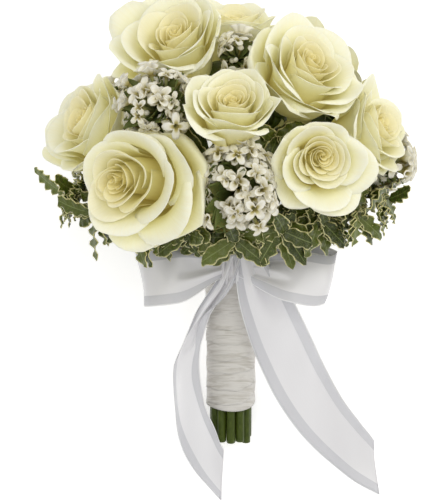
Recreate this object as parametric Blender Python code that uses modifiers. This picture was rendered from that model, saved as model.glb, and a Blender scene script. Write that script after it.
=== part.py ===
"""Hand-tied bridal bouquet: open roses, bouvardia heads and variegated pittosporum sprigs on stems
that are bound, wrapped in satin ribbon and tied with a bow. It lies on its back on a flat surface.

Everything is laid out in the bouquet's own frame, in metres: +X to the right of its face, +Y from its
face to its back, +Z up the stems, with the binding point at zero. One empty then lays it down.
"""
import math
import random

import bmesh
import bpy
from mathutils import Matrix, Vector

MM = 0.001

# Driving dimensions of the lay of the bouquet
LIE_TILT = 21.7          # degrees the stems rise from the surface towards the head
STEM_END_Z = -137 * MM   # cut ends of the stems
WORLD_SHIFT = (6.71 * MM, 6.17 * MM, 63.88 * MM)  # the lowest points at zero, the box centred
FLOOR_CLEAR = 1.2 * MM   # what lies over the surface without resting on it
RESTING = ("rose_back_left", "rose_back_right")  # the blooms that it rests on
RESTING_CLEAR = -8 * MM  # how far under the surface their cells reach, so that it doesn't flatten them
LOWEST_STEM = "rose_top_back"  # the stem whose cut end it rests on
CELL_GAP = 1.1 * MM      # half the space kept between neighbouring heads
SQUEEZE_POWER = 4        # how sharply a head is pressed in at its neighbours

# Stems
ROSE_STEM_R = 3.1 * MM
ROSE_RING_R = 11.6 * MM
SPRAY_STEM_R = 1.5 * MM
SPRAY_RING_R = 4.9 * MM
TWIG_R = 1.15 * MM
TWIG_RING_R = 15.95 * MM
TWIG_END_Z = -13 * MM
HIP_R = 4.6 * MM
HIP_GAP = 0.35 * MM
BLADE = 0.8 * MM         # thickness of petals, leaves and ribbon

# Handle
WRAP_TOP_Z = 4 * MM
WRAP_END_Z = -108 * MM
WRAP_R = 17.2 * MM
WRAP_FLARE_R = 19.0 * MM
WRAP_WALL = 1.0 * MM
WRAP_TURN = 10.5 * MM
TAPE_Z = (-62 * MM, -48 * MM)
TAPE_R = (15.0 * MM, 15.7 * MM)

# Ribbon of the bow
BAND_R = WRAP_FLARE_R + 0.4 * MM
BAND_Z = (-14 * MM, 2 * MM)
KNOT_SIZE = (19 * MM, 12 * MM, 20 * MM)
KNOT_MIDDLE = (0, -25 * MM, -4 * MM)

# Heads: the middle of each in millimetres (right, back, up of the binding), its diameter, the azimuth
# and elevation that it faces, and its turn, in degrees. Azimuth 0 is the bouquet's face.
ROSES = {
    "rose_centre": (0, -75, 102, 66, 0, 58, 20),
    "rose_front_right": (52, -70, 71, 76, 12, 10, 50),
    "rose_front_left": (-49, -68, 58, 102, -28, 3, 10),
    "rose_top_left": (-37, -14, 133, 102, -24, 58, 35),
    "rose_top_right": (46, -35, 119, 98, 40, 44, 0),
    "rose_left": (-90, -12, 81, 90, -58, 34, 48),
    "rose_right": (84, -24, 84, 78, 66, 24, 25),
    "rose_top_back": (1, 26, 137, 74, -178, 80, 30),
    "rose_back_high": (54, 38, 120, 78, 122, 40, 5),
    "rose_back_left": (-46, 65.92, 90.03, 92, -146, 10, 30),
    "rose_back_right": (40, 66.46, 81.87, 90, 151, 8, 44),
}
SPRAYS = {
    "bouvardia_left": (-46, -54, 104, 54, -40, 28, 0),
    "bouvardia_centre": (4, -70, 55, 68, 3, -4, 30),
    "bouvardia_right": (97, -8, 62, 46, 84, 8, 60),
    "bouvardia_top": (4, -20, 134, 40, 8, 62, 15),
    "bouvardia_back": (-4, 74, 102, 44, -178, 24, 40),
    "bouvardia_back_left": (-80, 38, 82, 52, -116, 12, 10),
    "bouvardia_back_right": (80, 42, 84, 50, 120, 12, 50),
}
SPRIGS = {
    "pittosporum_left_high": (-103, -12, 45, 52, -84, -18, 5),
    "pittosporum_left": (-84, -36, 38, 52, -66, -20, -10),
    "pittosporum_front_left": (-58, -50, 30, 50, -46, -22, 12),
    "pittosporum_front": (-27, -62, 30, 48, -24, -24, -8),
    "pittosporum_front_middle": (2, -68, 27, 46, 2, -22, 10),
    "pittosporum_front_right": (30, -66, 33, 48, 22, -22, -6),
    "pittosporum_right_low": (54, -57, 36, 50, 40, -22, 8),
    "pittosporum_right": (77, -43, 38, 52, 58, -20, -10),
    "pittosporum_right_high": (96, -18, 42, 50, 80, -16, 6),
    "pittosporum_back_right": (72, 30, 46, 48, 118, -18, 10),
    "pittosporum_back_left": (-72, 30, 46, 48, -118, -18, -10),
}
INNER_SPRIGS = {
    "pittosporum_inner_left": (-18, -42, 72, 46, -14, 5, 0),
    "pittosporum_inner_right": (28, -40, 84, 46, 22, 10, 0),
}

# sRGB colours of the finishes
ROSE_CREAM = (0.93, 0.91, 0.74)
FLORET_WHITE = (0.95, 0.94, 0.90)
STEM_GREEN = (0.33, 0.42, 0.13)
LEAF_GREEN = (0.25, 0.34, 0.13)
SATIN_WHITE = (0.94, 0.94, 0.95)
WRAP_WHITE = (0.90, 0.89, 0.86)
TAPE_GREEN = (0.20, 0.30, 0.16)


def linear(channel):
    """One sRGB channel as a linear one."""
    return channel / 12.92 if channel <= 0.04045 else ((channel + 0.055) / 1.055) ** 2.4


def finish(name, srgb, roughness):
    """A Principled material of one colour, as Blender shows it."""
    made = bpy.data.materials.new(name)
    made.use_nodes = True
    shader = made.node_tree.nodes["Principled BSDF"]
    shader.inputs["Base Color"].default_value = (*map(linear, srgb), 1.0)
    shader.inputs["Roughness"].default_value = roughness
    shader.inputs["Metallic"].default_value = 0.0
    return made


def direction(azimuth, elevation):
    """The unit vector of an azimuth and an elevation in degrees, azimuth 0 being the face."""
    a, e = math.radians(azimuth), math.radians(elevation)
    return Vector((math.sin(a) * math.cos(e), -math.cos(a) * math.cos(e), math.sin(e)))


def smooth(x):
    """The smooth step from 0 at 0 to 1 at 1."""
    x = min(1.0, max(0.0, x))
    return x * x * (3 - 2 * x)


# Height of each kind of head as a share of its radius, and how much of the room it takes from others
HEIGHTS = {"rose": 1.12, "spray": 0.80, "sprig": 0.9, "inner": 0.9}
WEIGHTS = {"rose": 1.0, "spray": 0.80, "sprig": 0.50, "inner": 1.2}


class Head:
    """A bloom, spray or sprig: where it stands in the bouquet, what it faces and the cell it fills."""

    def __init__(self, name, kind, row):
        right, back, up, across, face_azimuth, face_elevation, turn = row
        self.name, self.kind, self.turn = name, kind, math.radians(turn)
        self.middle = Vector((right, back, up)) * MM
        self.azimuth = math.atan2(right, -back)
        self.radius = across * MM / 2
        self.axis = direction(face_azimuth, face_elevation)
        self.height = self.radius * HEIGHTS[kind]
        self.base = self.middle - self.axis * self.height * 0.55
        side = Vector((0, 0, 1)).cross(self.axis).normalized()
        self.frame = Matrix((side, self.axis.cross(side), self.axis)).transposed()
        self.frame = self.frame @ Matrix.Rotation(self.turn, 3, "Z")
        self.walls = []

    def wall_towards(self, other):
        """Adds the plane that parts this head's cell from another's."""
        way = other.middle - self.middle
        mine, theirs = (head.radius * WEIGHTS[head.kind] for head in (self, other))
        share = mine / (mine + theirs)
        self.walls.append((way.normalized(), way.length * share - CELL_GAP))

    def placed(self, point):
        """A point of the head's own frame in the bouquet's frame, pressed into the head's cell."""
        return self.pressed(self.base + self.frame @ point)

    def pressed(self, point):
        """A point of the bouquet's frame, pressed into the head's cell."""
        along = max(0.0, min(self.height, (point - self.base).dot(self.axis)))
        spine = self.base + self.axis * along
        out = point - spine
        room = 1e9
        for normal, far in self.walls:
            reach = out.dot(normal)
            if reach > 1e-7:
                left = max(far - (spine - self.middle).dot(normal), 0.5 * MM)
                room = min(room, left / reach)
        return spine + out * (1 + room ** -SQUEEZE_POWER) ** (-1 / SQUEEZE_POWER)


FLOOR_DOWN = Vector((0, math.cos(math.radians(LIE_TILT)), -math.sin(math.radians(LIE_TILT))))


def above_floor(point):
    """Height of a point of the bouquet's frame over the surface that it lies on."""
    return WORLD_SHIFT[2] - point.dot(FLOOR_DOWN)


def make_heads():
    """All heads, each with the walls of its cell: its neighbours and the surface below."""
    rows = [(n, "rose", r) for n, r in ROSES.items()]
    rows += [(n, "spray", r) for n, r in SPRAYS.items()]
    rows += [(n, "sprig", r) for n, r in SPRIGS.items()]
    rows += [(n, "inner", r) for n, r in INNER_SPRIGS.items()]
    heads = [Head(*row) for row in rows]
    for head in heads:
        for other in heads:
            if other is not head:
                head.wall_towards(other)
        clear = RESTING_CLEAR if head.name in RESTING else FLOOR_CLEAR
        head.walls.append((FLOOR_DOWN, above_floor(head.middle) - clear - BLADE))
    return heads


# Meshes and their joining

def new_object(name, mesh, collection):
    made = bpy.data.objects.new(name, mesh)
    collection.objects.link(made)
    return made


def surface(name, rows, collection):
    """A blade: rows of points, where a row may be a single point, skinned with triangles split alike
    on both faces and given its thickness."""
    bm = bmesh.new()
    lines = [[bm.verts.new(p) for p in row] for row in rows]
    for low, high in zip(lines, lines[1:]):
        for i in range(max(len(low), len(high)) - 1):
            if len(low) == 1:
                bm.faces.new((low[0], high[i + 1], high[i]))
            elif len(high) == 1:
                bm.faces.new((low[i], low[i + 1], high[0]))
            else:
                bm.faces.new((low[i], low[i + 1], high[i + 1]))
                bm.faces.new((low[i], high[i + 1], high[i]))
    mesh = bpy.data.meshes.new(name)
    bm.to_mesh(mesh)
    bm.free()
    made = new_object(name, mesh, collection)
    solid = made.modifiers.new("thickness", "SOLIDIFY")
    solid.thickness = BLADE
    solid.offset = 0
    solid.use_even_offset = False
    return made


def skin(name, rows, falling, collection):
    """A closed solid: rings of points from its foot to its tip, its first and last row one point.
    Rows that fall back down the inner side of a blade are split along the same diagonals as its outer
    side is."""
    bm = bmesh.new()
    lines = [[bm.verts.new(p) for p in row] for row in rows]
    for row, (low, high) in enumerate(zip(lines, lines[1:]), 1):
        around = max(len(low), len(high))
        for i in range(around):
            j = (i + 1) % around
            if len(low) == 1:
                bm.faces.new((low[0], high[j], high[i]))
            elif len(high) == 1:
                bm.faces.new((low[i], low[j], high[0]))
            elif row in falling:
                bm.faces.new((low[i], low[j], high[i]))
                bm.faces.new((low[j], high[j], high[i]))
            else:
                bm.faces.new((low[i], low[j], high[j]))
                bm.faces.new((low[i], high[j], high[i]))
    mesh = bpy.data.meshes.new(name)
    bm.to_mesh(mesh)
    bm.free()
    return new_object(name, mesh, collection)


def tube(name, points, radii, collection, resolution=2):
    """A stem or twig: a straight-sided curve through the points, as thick as each radius says."""
    curve = bpy.data.curves.new(name, "CURVE")
    curve.dimensions = "3D"
    curve.bevel_depth = 1.0
    curve.bevel_resolution = resolution
    curve.use_fill_caps = True
    line = curve.splines.new("POLY")
    line.points.add(len(points) - 1)
    for knot, point, radius in zip(line.points, points, radii):
        knot.co = (*point, 1)
        knot.radius = radius
    return new_object(name, curve, collection)


def as_mesh(made, collection):
    """The object as a plain mesh, with its modifiers applied and a curve's caps welded."""
    graph = bpy.context.evaluated_depsgraph_get()
    mesh = bpy.data.meshes.new_from_object(made.evaluated_get(graph))
    bm = bmesh.new()
    bm.from_mesh(mesh)
    bmesh.ops.remove_doubles(bm, verts=bm.verts, dist=1e-6)
    bmesh.ops.recalc_face_normals(bm, faces=bm.faces)
    bm.to_mesh(mesh)
    bm.free()
    name = made.name
    bpy.data.objects.remove(made)
    return new_object(name, mesh, collection)


def largest_body(mesh):
    """Keeps the largest closed surface, which fills sealed hollows and drops loose scraps."""
    bm = bmesh.new()
    bm.from_mesh(mesh)
    left, bodies = set(bm.verts), []
    while left:
        found, queue = set(), [left.pop()]
        while queue:
            vert = queue.pop()
            found.add(vert)
            for edge in vert.link_edges:
                other = edge.other_vert(vert)
                if other in left:
                    left.remove(other)
                    queue.append(other)
        bodies.append(found)
    biggest = max(bodies, key=len)
    bmesh.ops.delete(bm, geom=[v for v in bm.verts if v not in biggest], context="VERTS")
    bm.to_mesh(mesh)
    bm.free()


def fuse(name, pieces, collection):
    """One solid of several that overlap."""
    others = bpy.data.collections.new(name + "_pieces")
    bpy.context.scene.collection.children.link(others)
    body, *rest = [as_mesh(piece, collection) for piece in pieces]
    for piece in rest:
        collection.objects.unlink(piece)
        others.objects.link(piece)
    join = body.modifiers.new("join", "BOOLEAN")
    join.operation = "UNION"
    join.operand_type = "COLLECTION"
    join.collection = others
    join.solver = "MANIFOLD"
    graph = bpy.context.evaluated_depsgraph_get()
    mesh = bpy.data.meshes.new_from_object(body.evaluated_get(graph))
    largest_body(mesh)
    for piece in [body, *rest]:
        bpy.data.objects.remove(piece)
    bpy.data.collections.remove(others)
    return new_object(name, mesh, collection)


def turned(name, profile, collection, steps):
    """A turned solid: a profile of (radius, height) down its outer side, spun on the stem axis."""
    mesh = bpy.data.meshes.new(name)
    points = [(r, 0, z) for r, z in profile]
    closed = [(i, (i + 1) % len(points)) for i in range(len(points))]
    on_axis = profile[0][0] < 1e-9
    mesh.from_pydata(points, closed[:-1] if on_axis else closed, [])
    made = new_object(name, mesh, collection)
    spin = made.modifiers.new("turn", "SCREW")
    spin.steps = spin.render_steps = steps
    spin.use_merge_vertices = True
    spin.merge_threshold = 1e-5
    return made


# Roses

# A bloom is one surface folded into layers of petals, from the foot to the bud. Each layer has its
# number of petals, how open they are, its turn in columns, and how far along the petals the rings of
# the outer side lie: the last two are on the inner side too. Each layer ends in a fold, which has an
# openness and a place along it.
COLUMNS = 20
LAYERS = (
    (5, 1.0, 0, (0.20, 0.36, 0.72, 1.0), (0.80, 0.46)),
    (4, 0.60, 2, (0.45, 0.76, 1.0), (0.42, 0.52)),
    (2, 0.24, 5, (0.50, 0.80, 1.0), (0.12, 0.78)),
)
FOOT = (0.15, 0.03)      # radius and height of the bloom's foot, as shares of its radius
BUD = ((0.09, 0.86), (0.0, 0.89))


def petal_point(radius, openness, petals, column, along):
    """A point of a petal of a bloom of that radius. Openness runs from 0 in the bud to 1 outside."""
    each = COLUMNS // petals
    petal, place = divmod(column, each)
    across = -1 + 2 * place / (each - 1)
    length = radius * (1.02 + 0.18 * openness)
    lean_foot = 16 + 46 * openness
    lean_middle = -12 + 48 * openness ** 1.2
    lean_rim = 4 + 100 * openness ** 1.2 + 22 * openness * across ** 2
    rim = 1 + 0.05 * openness * (1 - 2 * abs(across)) - 0.15 * across ** 4
    rim += 0.05 * math.sin(2.4 * petal + 9 * openness)
    end = along * (1 + (rim - 1) * smooth(along))
    steps = 12
    r, z = radius * 0.13, radius * 0.09
    for k in range(steps):
        s = end * (k + 0.5) / steps
        lean = lean_foot + (lean_middle - lean_foot) * smooth(s / 0.45)
        lean += (lean_rim - lean_middle) * smooth((s - 0.52) / 0.48)
        r += math.sin(math.radians(lean)) * length * end / steps
        z += math.cos(math.radians(lean)) * length * end / steps
    r += radius * 0.05 * across * smooth(along * 1.5)
    turn = 2 * math.pi * (petal + 0.5) / petals + math.pi / petals * 0.84 * across
    return Vector((r * math.cos(turn), r * math.sin(turn), z))


def sheet_normals(rings):
    """The direction away from the axis, or down, at each point of a grid of rings."""
    normals = []
    for i, ring in enumerate(rings):
        low, high = rings[max(0, i - 1)], rings[min(len(rings) - 1, i + 1)]
        line = []
        for c in range(len(ring)):
            along = high[c] - low[c]
            around = ring[(c + 1) % len(ring)] - ring[c - 1]
            line.append(around.cross(along).normalized())
        normals.append(line)
    return normals


def rose(head, collection):
    """A bloom, pressed in where it meets its neighbours."""
    radius = head.radius
    dice = random.Random(head.name)
    shift = dice.uniform(-0.2, 0.2)

    def ring(openness, petals, turn, along):
        spin = Matrix.Rotation(2 * math.pi * turn / COLUMNS + shift, 3, "Z")
        return [head.placed(spin @ petal_point(radius, openness, petals, (c - turn) % COLUMNS, along))
                for c in range(COLUMNS)]

    def level(r, z):
        turns = [2 * math.pi * (c + 0.5) / COLUMNS + shift for c in range(COLUMNS)]
        return [head.base + head.frame @ Vector((r * radius * math.cos(a), r * radius * math.sin(a),
                                                 z * radius)) for a in turns]

    rows = [[head.base], level(*FOOT)]
    falling = set()
    for petals, openness, turn, places, fold in LAYERS:
        sheet = [ring(openness, petals, turn, s) for s in places]
        half = [[n * BLADE / 2 for n in line] for line in sheet_normals(sheet)]
        for line, way in zip(sheet[1:], half[1:]):
            rows.append([p + n for p, n in zip(line, way)])
        for line, way in zip(sheet[:-3:-1], half[:-3:-1]):
            rows.append([p - n for p, n in zip(line, way)])
            falling.add(len(rows))
        rows.append(ring(fold[0], petals, turn, fold[1]))
    rows += [level(r, z) if r else [head.base + head.axis * z * radius] for r, z in BUD]
    return skin(head.name, rows, falling, collection)


# Bouvardia

FLORET_SHARE = 3.3 * MM  # of a head's radius, for each of its florets
FLORET_ACROSS = 19 * MM
FLORET_TUBE_R = 1.1 * MM
HEART_SHARE = 0.36       # of a head's radius, for its heart
HEAD_SPREAD = 80         # degrees from the head's axis to its outermost florets
GOLDEN_ANGLE = 137.5     # degrees from one floret to the next


def floret(head, foot, tip, turn, collection):
    """A trumpet from foot to tip, open into four pointed lobes."""
    name = head.name + "_floret"
    axis = (tip - foot).normalized()
    side = axis.orthogonal().normalized()
    spin = Matrix.Rotation(turn, 3, axis)
    side = spin @ side
    up = axis.cross(side)
    length = (tip - foot).length

    def ring(count, radii, height):
        turns = [2 * math.pi * i / count for i in range(count)]
        ways = [side * math.cos(a) + up * math.sin(a) for a in turns]
        return [head.pressed(foot + axis * height + way * radii[i % len(radii)])
                for i, way in enumerate(ways)]

    bm = bmesh.new()
    base = [bm.verts.new(p) for p in ring(4, [FLORET_TUBE_R], 0)]
    neck = [bm.verts.new(p) for p in ring(4, [FLORET_TUBE_R * 1.5], length - 1.8 * MM)]
    star = [bm.verts.new(p) for p in ring(8, [FLORET_ACROSS / 2, FLORET_ACROSS * 0.27], length)]
    eye = bm.verts.new(head.pressed(foot + axis * (length - 0.5 * MM)))
    bm.faces.new(base[::-1])
    for i in range(4):
        j = (i + 1) % 4
        tip_vert, notch, next_tip = star[2 * i], star[2 * i + 1], star[2 * j]
        bm.faces.new((base[i], base[j], neck[j], neck[i]))
        bm.faces.new((neck[i], notch, tip_vert))
        bm.faces.new((neck[i], neck[j], notch))
        bm.faces.new((neck[j], next_tip, notch))
        bm.faces.new((tip_vert, notch, eye))
        bm.faces.new((notch, next_tip, eye))
    mesh = bpy.data.meshes.new(name)
    bm.to_mesh(mesh)
    bm.free()
    return new_object(name, mesh, collection)


def spray(head, collection):
    """A head of bouvardia: florets standing out of a smaller heart."""
    core_r = head.radius * HEART_SHARE
    core = turned(
        head.name,
        [(0, core_r * 1.6), (core_r * 0.75, core_r * 1.3), (core_r, core_r * 0.7),
         (core_r * 0.4, 0.1 * MM), (0, 0)],
        collection, 8)
    core = as_mesh(core, collection)
    for vert in core.data.vertices:
        vert.co = head.base + head.frame @ vert.co
    pieces = [core]
    dice = random.Random(head.name)
    count = round(head.radius / FLORET_SHARE)
    for i in range(count):
        polar = math.radians(HEAD_SPREAD) * math.sqrt((i + 0.3) / count)
        turn = i * math.radians(GOLDEN_ANGLE)
        way = Vector((math.sin(polar) * math.cos(turn), math.sin(polar) * math.sin(turn), math.cos(polar)))
        foot = Vector((0, 0, core_r * 0.8)) + way * core_r * 0.3
        reach = head.radius * (1.0 - 0.10 * (i % 2))
        tip = head.placed(Vector((0, 0, core_r * 0.55)) + way * (reach - FLORET_ACROSS * 0.12))
        pieces.append(
            floret(head, head.base + head.frame @ foot, tip, dice.uniform(0, 1.5), collection))
    return fuse(head.name, pieces, collection)


# Pittosporum

SPRIG_LEAVES = 10
LEAF_LENGTH = 29 * MM
LEAF_WIDTH = 15 * MM
LEAF_WAVE = 1.3 * MM
LEAF_SHORTEST = 13 * MM
LEAF_SECTIONS = ((0.0, 0.0), (0.34, 0.90), (0.70, 0.92), (1.0, 0.0))


def leaf(head, foot, way, face, size, collection):
    """A waved leaf from foot along way, its upper side towards face, kept short at the cell's walls."""
    side = way.cross(face).normalized()
    up = side.cross(way).normalized()
    while (head.pressed(foot + way * size) - foot - way * size).length > 0.13 * size:
        size -= 1 * MM
        if size < LEAF_SHORTEST:
            return None
    rows = []
    for k, (s, width) in enumerate(LEAF_SECTIONS):
        spine = foot + way * (size * s) - up * (0.20 * size * s * s)
        if not width:
            rows.append([head.pressed(spine)])
            continue
        half = side * (LEAF_WIDTH / 2 * width * size / LEAF_LENGTH)
        lift = up * (LEAF_WAVE * (1 if k % 2 else -1))
        rows.append([head.pressed(p) for p in (spine - half + lift, spine, spine + half - lift)])
    return surface(head.name + "_leaf", rows, collection)


def sprig(head, path, collection):
    """A leafy twig: the twig runs from the handle, and its leaves spiral round its outer end."""
    radii = [TWIG_R] * (len(path) - 1) + [TWIG_R * 0.6]
    pieces = [tube(head.name, path, radii, collection, resolution=1)]
    dice = random.Random(head.name)
    for i in range(SPRIG_LEAVES):
        share = (i // 2 + 0.5 * (i % 2)) / (SPRIG_LEAVES / 2)
        foot = head.base + head.axis * head.height * 0.85 * share
        fan = math.radians((112 - 78 * share) * (1 if i % 2 else -1) + dice.uniform(-9, 9))
        out = 0.15 + 0.65 * share
        way = head.frame @ Vector((math.sin(fan), -math.cos(fan), out)).normalized()
        face = (head.axis + Vector((0, 0, 0.25))).normalized()
        size = LEAF_LENGTH * dice.uniform(0.85, 1.1)
        blade = leaf(head, foot - way * 0.4 * MM, way, face, size, collection)
        if blade:
            pieces.append(blade)
    return fuse(head.name, pieces, collection)


# Stems

def bezier(a, b, c, d, count):
    """Points along a cubic curve from a to d."""
    points = []
    for i in range(count):
        t = i / (count - 1)
        u = 1 - t
        points.append(a * u**3 + b * (3 * u * u * t) + c * (3 * u * t * t) + d * t**3)
    return points


def slot(ring_r, azimuth, height):
    """A place in the handle at a ring radius and azimuth."""
    return Vector((math.sin(azimuth) * ring_r, -math.cos(azimuth) * ring_r, height))


class Stem:
    """A stem's centre line above the binding point, to be kept clear of the others."""

    def __init__(self, head, ring_r, azimuth, radius, end_z, top, count=6):
        self.name, self.radius, self.end_z, self.axis = head.name, radius, end_z, head.axis
        self.low = slot(ring_r, azimuth, 6.5 * MM if ring_r == TWIG_RING_R else 2 * MM)
        rise = (top - self.low).length
        bow = Vector((0, 0, rise * 0.38)) + slot(1, azimuth, 0) * rise * 0.06
        if ring_r == TWIG_RING_R:
            bow = Vector((0, 0, rise * 0.15)) + slot(1, azimuth, 0) * rise * 0.18
        neck = head.axis * rise * 0.30
        self.points = bezier(self.low, self.low + bow, top - neck, top, count)

    def path(self):
        """The whole centre line, from the cut end."""
        return [Vector((self.low.x, self.low.y, self.end_z)), *self.points]


def nearest(a, b, c, d):
    """The shares along segments a-b and c-d of their nearest points, and the vector between."""
    u, v, w = b - a, d - c, a - c
    uu, uv, vv = u.dot(u), u.dot(v), v.dot(v)
    uw, vw = u.dot(w), v.dot(w)
    low = uu * vv - uv * uv
    s = min(1.0, max(0.0, (uv * vw - vv * uw) / low)) if low > 1e-12 else 0.5
    t = min(1.0, max(0.0, (uv * s + vw) / vv))
    s = min(1.0, max(0.0, (uv * t - uw) / uu))
    return s, t, (c + v * t) - (a + u * s)


def keep_clear(stems, gap=0.9 * MM, rounds=150):
    """Moves the inner points of stems apart until each pair is clear by gap."""
    for _ in range(rounds):
        moved = 0.0
        for i, one in enumerate(stems):
            for other in stems[i + 1:]:
                need = one.radius + other.radius + gap
                for m in range(len(one.points) - 1):
                    for n in range(len(other.points) - 1):
                        s, t, way = nearest(one.points[m], one.points[m + 1],
                                            other.points[n], other.points[n + 1])
                        short = need - way.length
                        if short <= 0:
                            continue
                        push = way.normalized() * (short * 0.5)
                        for line, k, share, sign in ((one, m, s, -1), (other, n, t, 1)):
                            for index, weight in ((k, 1 - share), (k + 1, share)):
                                if 0 < index < len(line.points) - 1:
                                    line.points[index] += push * (sign * weight)
                        moved = max(moved, short)
        if moved < 0.02 * MM:
            break


def lay_stems(heads):
    """The stems of all heads. Those of a kind share a ring, in the order that the heads stand in."""
    roses = sorted((h for h in heads if h.kind == "rose"), key=lambda h: h.azimuth % (2 * math.pi))
    fillers = [h for h in heads if h.kind in ("spray", "inner")]
    stems = {}
    for i, head in enumerate(roses):
        azimuth = 2 * math.pi * i / len(roses)
        top = head.base - head.axis * HIP_GAP
        end_z = STEM_END_Z + 1.6 * MM * (1 + math.sin(2.1 * i + 0.4)) * (head.name != LOWEST_STEM)
        stems[head.name] = Stem(head, ROSE_RING_R, azimuth, ROSE_STEM_R, end_z, top)
    around = sorted((h for h in fillers if h.name != "bouvardia_top"),
                    key=lambda h: h.azimuth % (2 * math.pi))
    for head in fillers:
        ring_r, azimuth = 0, 0
        if head in around:
            ring_r, azimuth = SPRAY_RING_R, 2 * math.pi * (around.index(head) + 0.5) / len(around)
        top = head.base - head.axis * HIP_GAP
        radius = SPRAY_STEM_R
        if head.kind == "inner":
            top, radius = head.base + head.axis * head.height * 0.92, TWIG_R
        stems[head.name] = Stem(head, ring_r, azimuth, radius, STEM_END_Z, top)
    for head in heads:
        if head.kind == "sprig":
            top = head.base + head.axis * head.height * 0.92
            stems[head.name] = Stem(head, TWIG_RING_R, head.azimuth, TWIG_R, TWIG_END_Z, top)
    keep_clear(list(stems.values()))
    return stems


def rose_stem(stem, collection):
    """A rose's stem, widened to the hip under its bloom."""
    path = stem.path()
    hip = path[-1] - stem.axis * 7 * MM
    path = path[:-1] + [hip, path[-1]]
    radii = [ROSE_STEM_R] * (len(path) - 3) + [ROSE_STEM_R * 0.9, ROSE_STEM_R * 1.05, HIP_R]
    return tube(stem.name + "_stem", path, radii, collection)


def spray_stem(stem, collection):
    path = stem.path()
    return tube(stem.name + "_stem", path, [SPRAY_STEM_R] * len(path), collection, resolution=1)


# Handle

def wrap(collection):
    """The ribbon wound round the stems: a sleeve whose turns overlap, ragged at its lower edge."""
    steps, rings = 16, 12
    bm = bmesh.new()

    def ring(radius_of, z_of):
        points = []
        for i in range(steps):
            a = 2 * math.pi * i / steps
            r = radius_of(a)
            points.append(bm.verts.new((r * math.cos(a), r * math.sin(a), z_of(a))))
        return points

    def ragged(a):
        return 2.6 * MM * math.sin(a + 0.6) + 1.2 * MM * math.sin(2 * a)

    def outer(z):
        flare = smooth((z + 40 * MM) / (30 * MM))
        return WRAP_R + (WRAP_FLARE_R - WRAP_R) * flare

    lines = []
    for k in range(rings):
        share = k / (rings - 1)
        z = WRAP_TOP_Z + (WRAP_END_Z - WRAP_TOP_Z) * share

        def radius_of(a, z=z):
            turn = ((WRAP_TOP_Z - z) / WRAP_TURN + a / (2 * math.pi)) % 1.0
            return outer(z) - 0.45 * MM + 0.45 * MM * turn

        lines.append(ring(radius_of, lambda a, z=z, s=share: z + ragged(a) * s * s))
    for share, z in ((1.0, WRAP_END_Z), (0.2, -40 * MM), (0.1, -10 * MM), (0.0, WRAP_TOP_Z)):
        lines.append(ring(lambda a, z=z: outer(z) - WRAP_WALL,
                          lambda a, z=z, s=share: z + (ragged(a) if s == 1.0 else 0)))
    for upper, lower in zip(lines, lines[1:] + lines[:1]):
        for i in range(steps):
            j = (i + 1) % steps
            bm.faces.new((upper[i], lower[i], lower[j]))
            bm.faces.new((upper[i], lower[j], upper[j]))
    mesh = bpy.data.meshes.new("handle_wrap")
    bm.to_mesh(mesh)
    bm.free()
    return new_object("handle_wrap", mesh, collection)


def tape(collection):
    """The florist's tape that binds the stems under the ribbon."""
    inner, outer = TAPE_R
    low, high = TAPE_Z
    return turned("binding_tape", [(outer, high), (outer, low), (inner, low), (inner, high)],
                  collection, 16)


# Bow

# The ribbon's centre line in a loop, out from the knot and back, and half its width at the far end,
# in millimetres: right, back and up of the binding
LOOP_LEFT = ((-2, -27, -4), (-20, -32, -6), (-40, -35, -9), (-55, -34, -11), (-60, -28, -12),
             (-56, -21, -10), (-40, -17, -6), (-21, -20, -3), (-3, -24, -2))
LOOP_RIGHT = ((2, -27, -4), (22, -32, -6), (44, -36, -9), (60, -35, -12), (66, -28, -12),
              (62, -20, -11), (44, -15, -6), (23, -19, -3), (3, -24, -2))
LOOP_LEFT_HALF = (-2.5, 6, 17.5)
LOOP_RIGHT_HALF = (5, 9, 15)

# The edges of the tails, left and right, from the knot to the cut
TAIL_LEFT = (
    ((0, -28, 0), (-9, -25, -17), (-20, -19, -34), (-30, -5, -56), (-36, 6, -77), (-39, 13, -96),
     (-40, 16, -117), (-37, 11, -140), (-27, 3, -161), (-7, -5.4, -182)),
    ((6, -28, -3), (-1, -26, -18), (-9, -23, -32), (-18, -18, -50), (-22, -18, -68), (-23, -18, -86),
     (-20, -19, -103), (-15, -20, -117), (-10, -20, -129), (-5, -18, -138)),
)
TAIL_RIGHT = (
    ((3, -28, -3), (5, -27, -28), (12, -23, -55), (20, -17, -78), (32, -9, -105), (47, -1, -129),
     (66, 4, -152), (85, -0.4, -167), (105, -4, -177)),
    ((13, -28, 0), (34, -25, -20), (46, -21, -38), (55, -14, -58), (65, -7, -81), (77, 0, -105),
     (88, 4, -122), (95, 5, -132), (100, 6, -140)),
)


def spline(points, count):
    """Points evenly along the smooth curve through the given ones."""
    knots = [Vector(p) * MM for p in points]
    ends = [knots[0] * 2 - knots[1], *knots, knots[-1] * 2 - knots[-2]]
    fine = []
    for a, b, c, d in zip(ends, ends[1:], ends[2:], ends[3:]):
        for k in range(16):
            t = k / 16
            fine.append(0.5 * (b * 2 + (c - a) * t + (a * 2 - b * 5 + c * 4 - d) * t * t
                               + (b * 3 - a - c * 3 + d) * t**3))
    fine.append(knots[-1])
    run = [0.0]
    for a, b in zip(fine, fine[1:]):
        run.append(run[-1] + (b - a).length)
    found, k = [], 0
    for i in range(count):
        want = run[-1] * i / (count - 1)
        while k < len(fine) - 2 and run[k + 1] < want:
            k += 1
        share = (want - run[k]) / max(1e-9, run[k + 1] - run[k])
        found.append(fine[k].lerp(fine[k + 1], min(1.0, share)))
    return found


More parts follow.
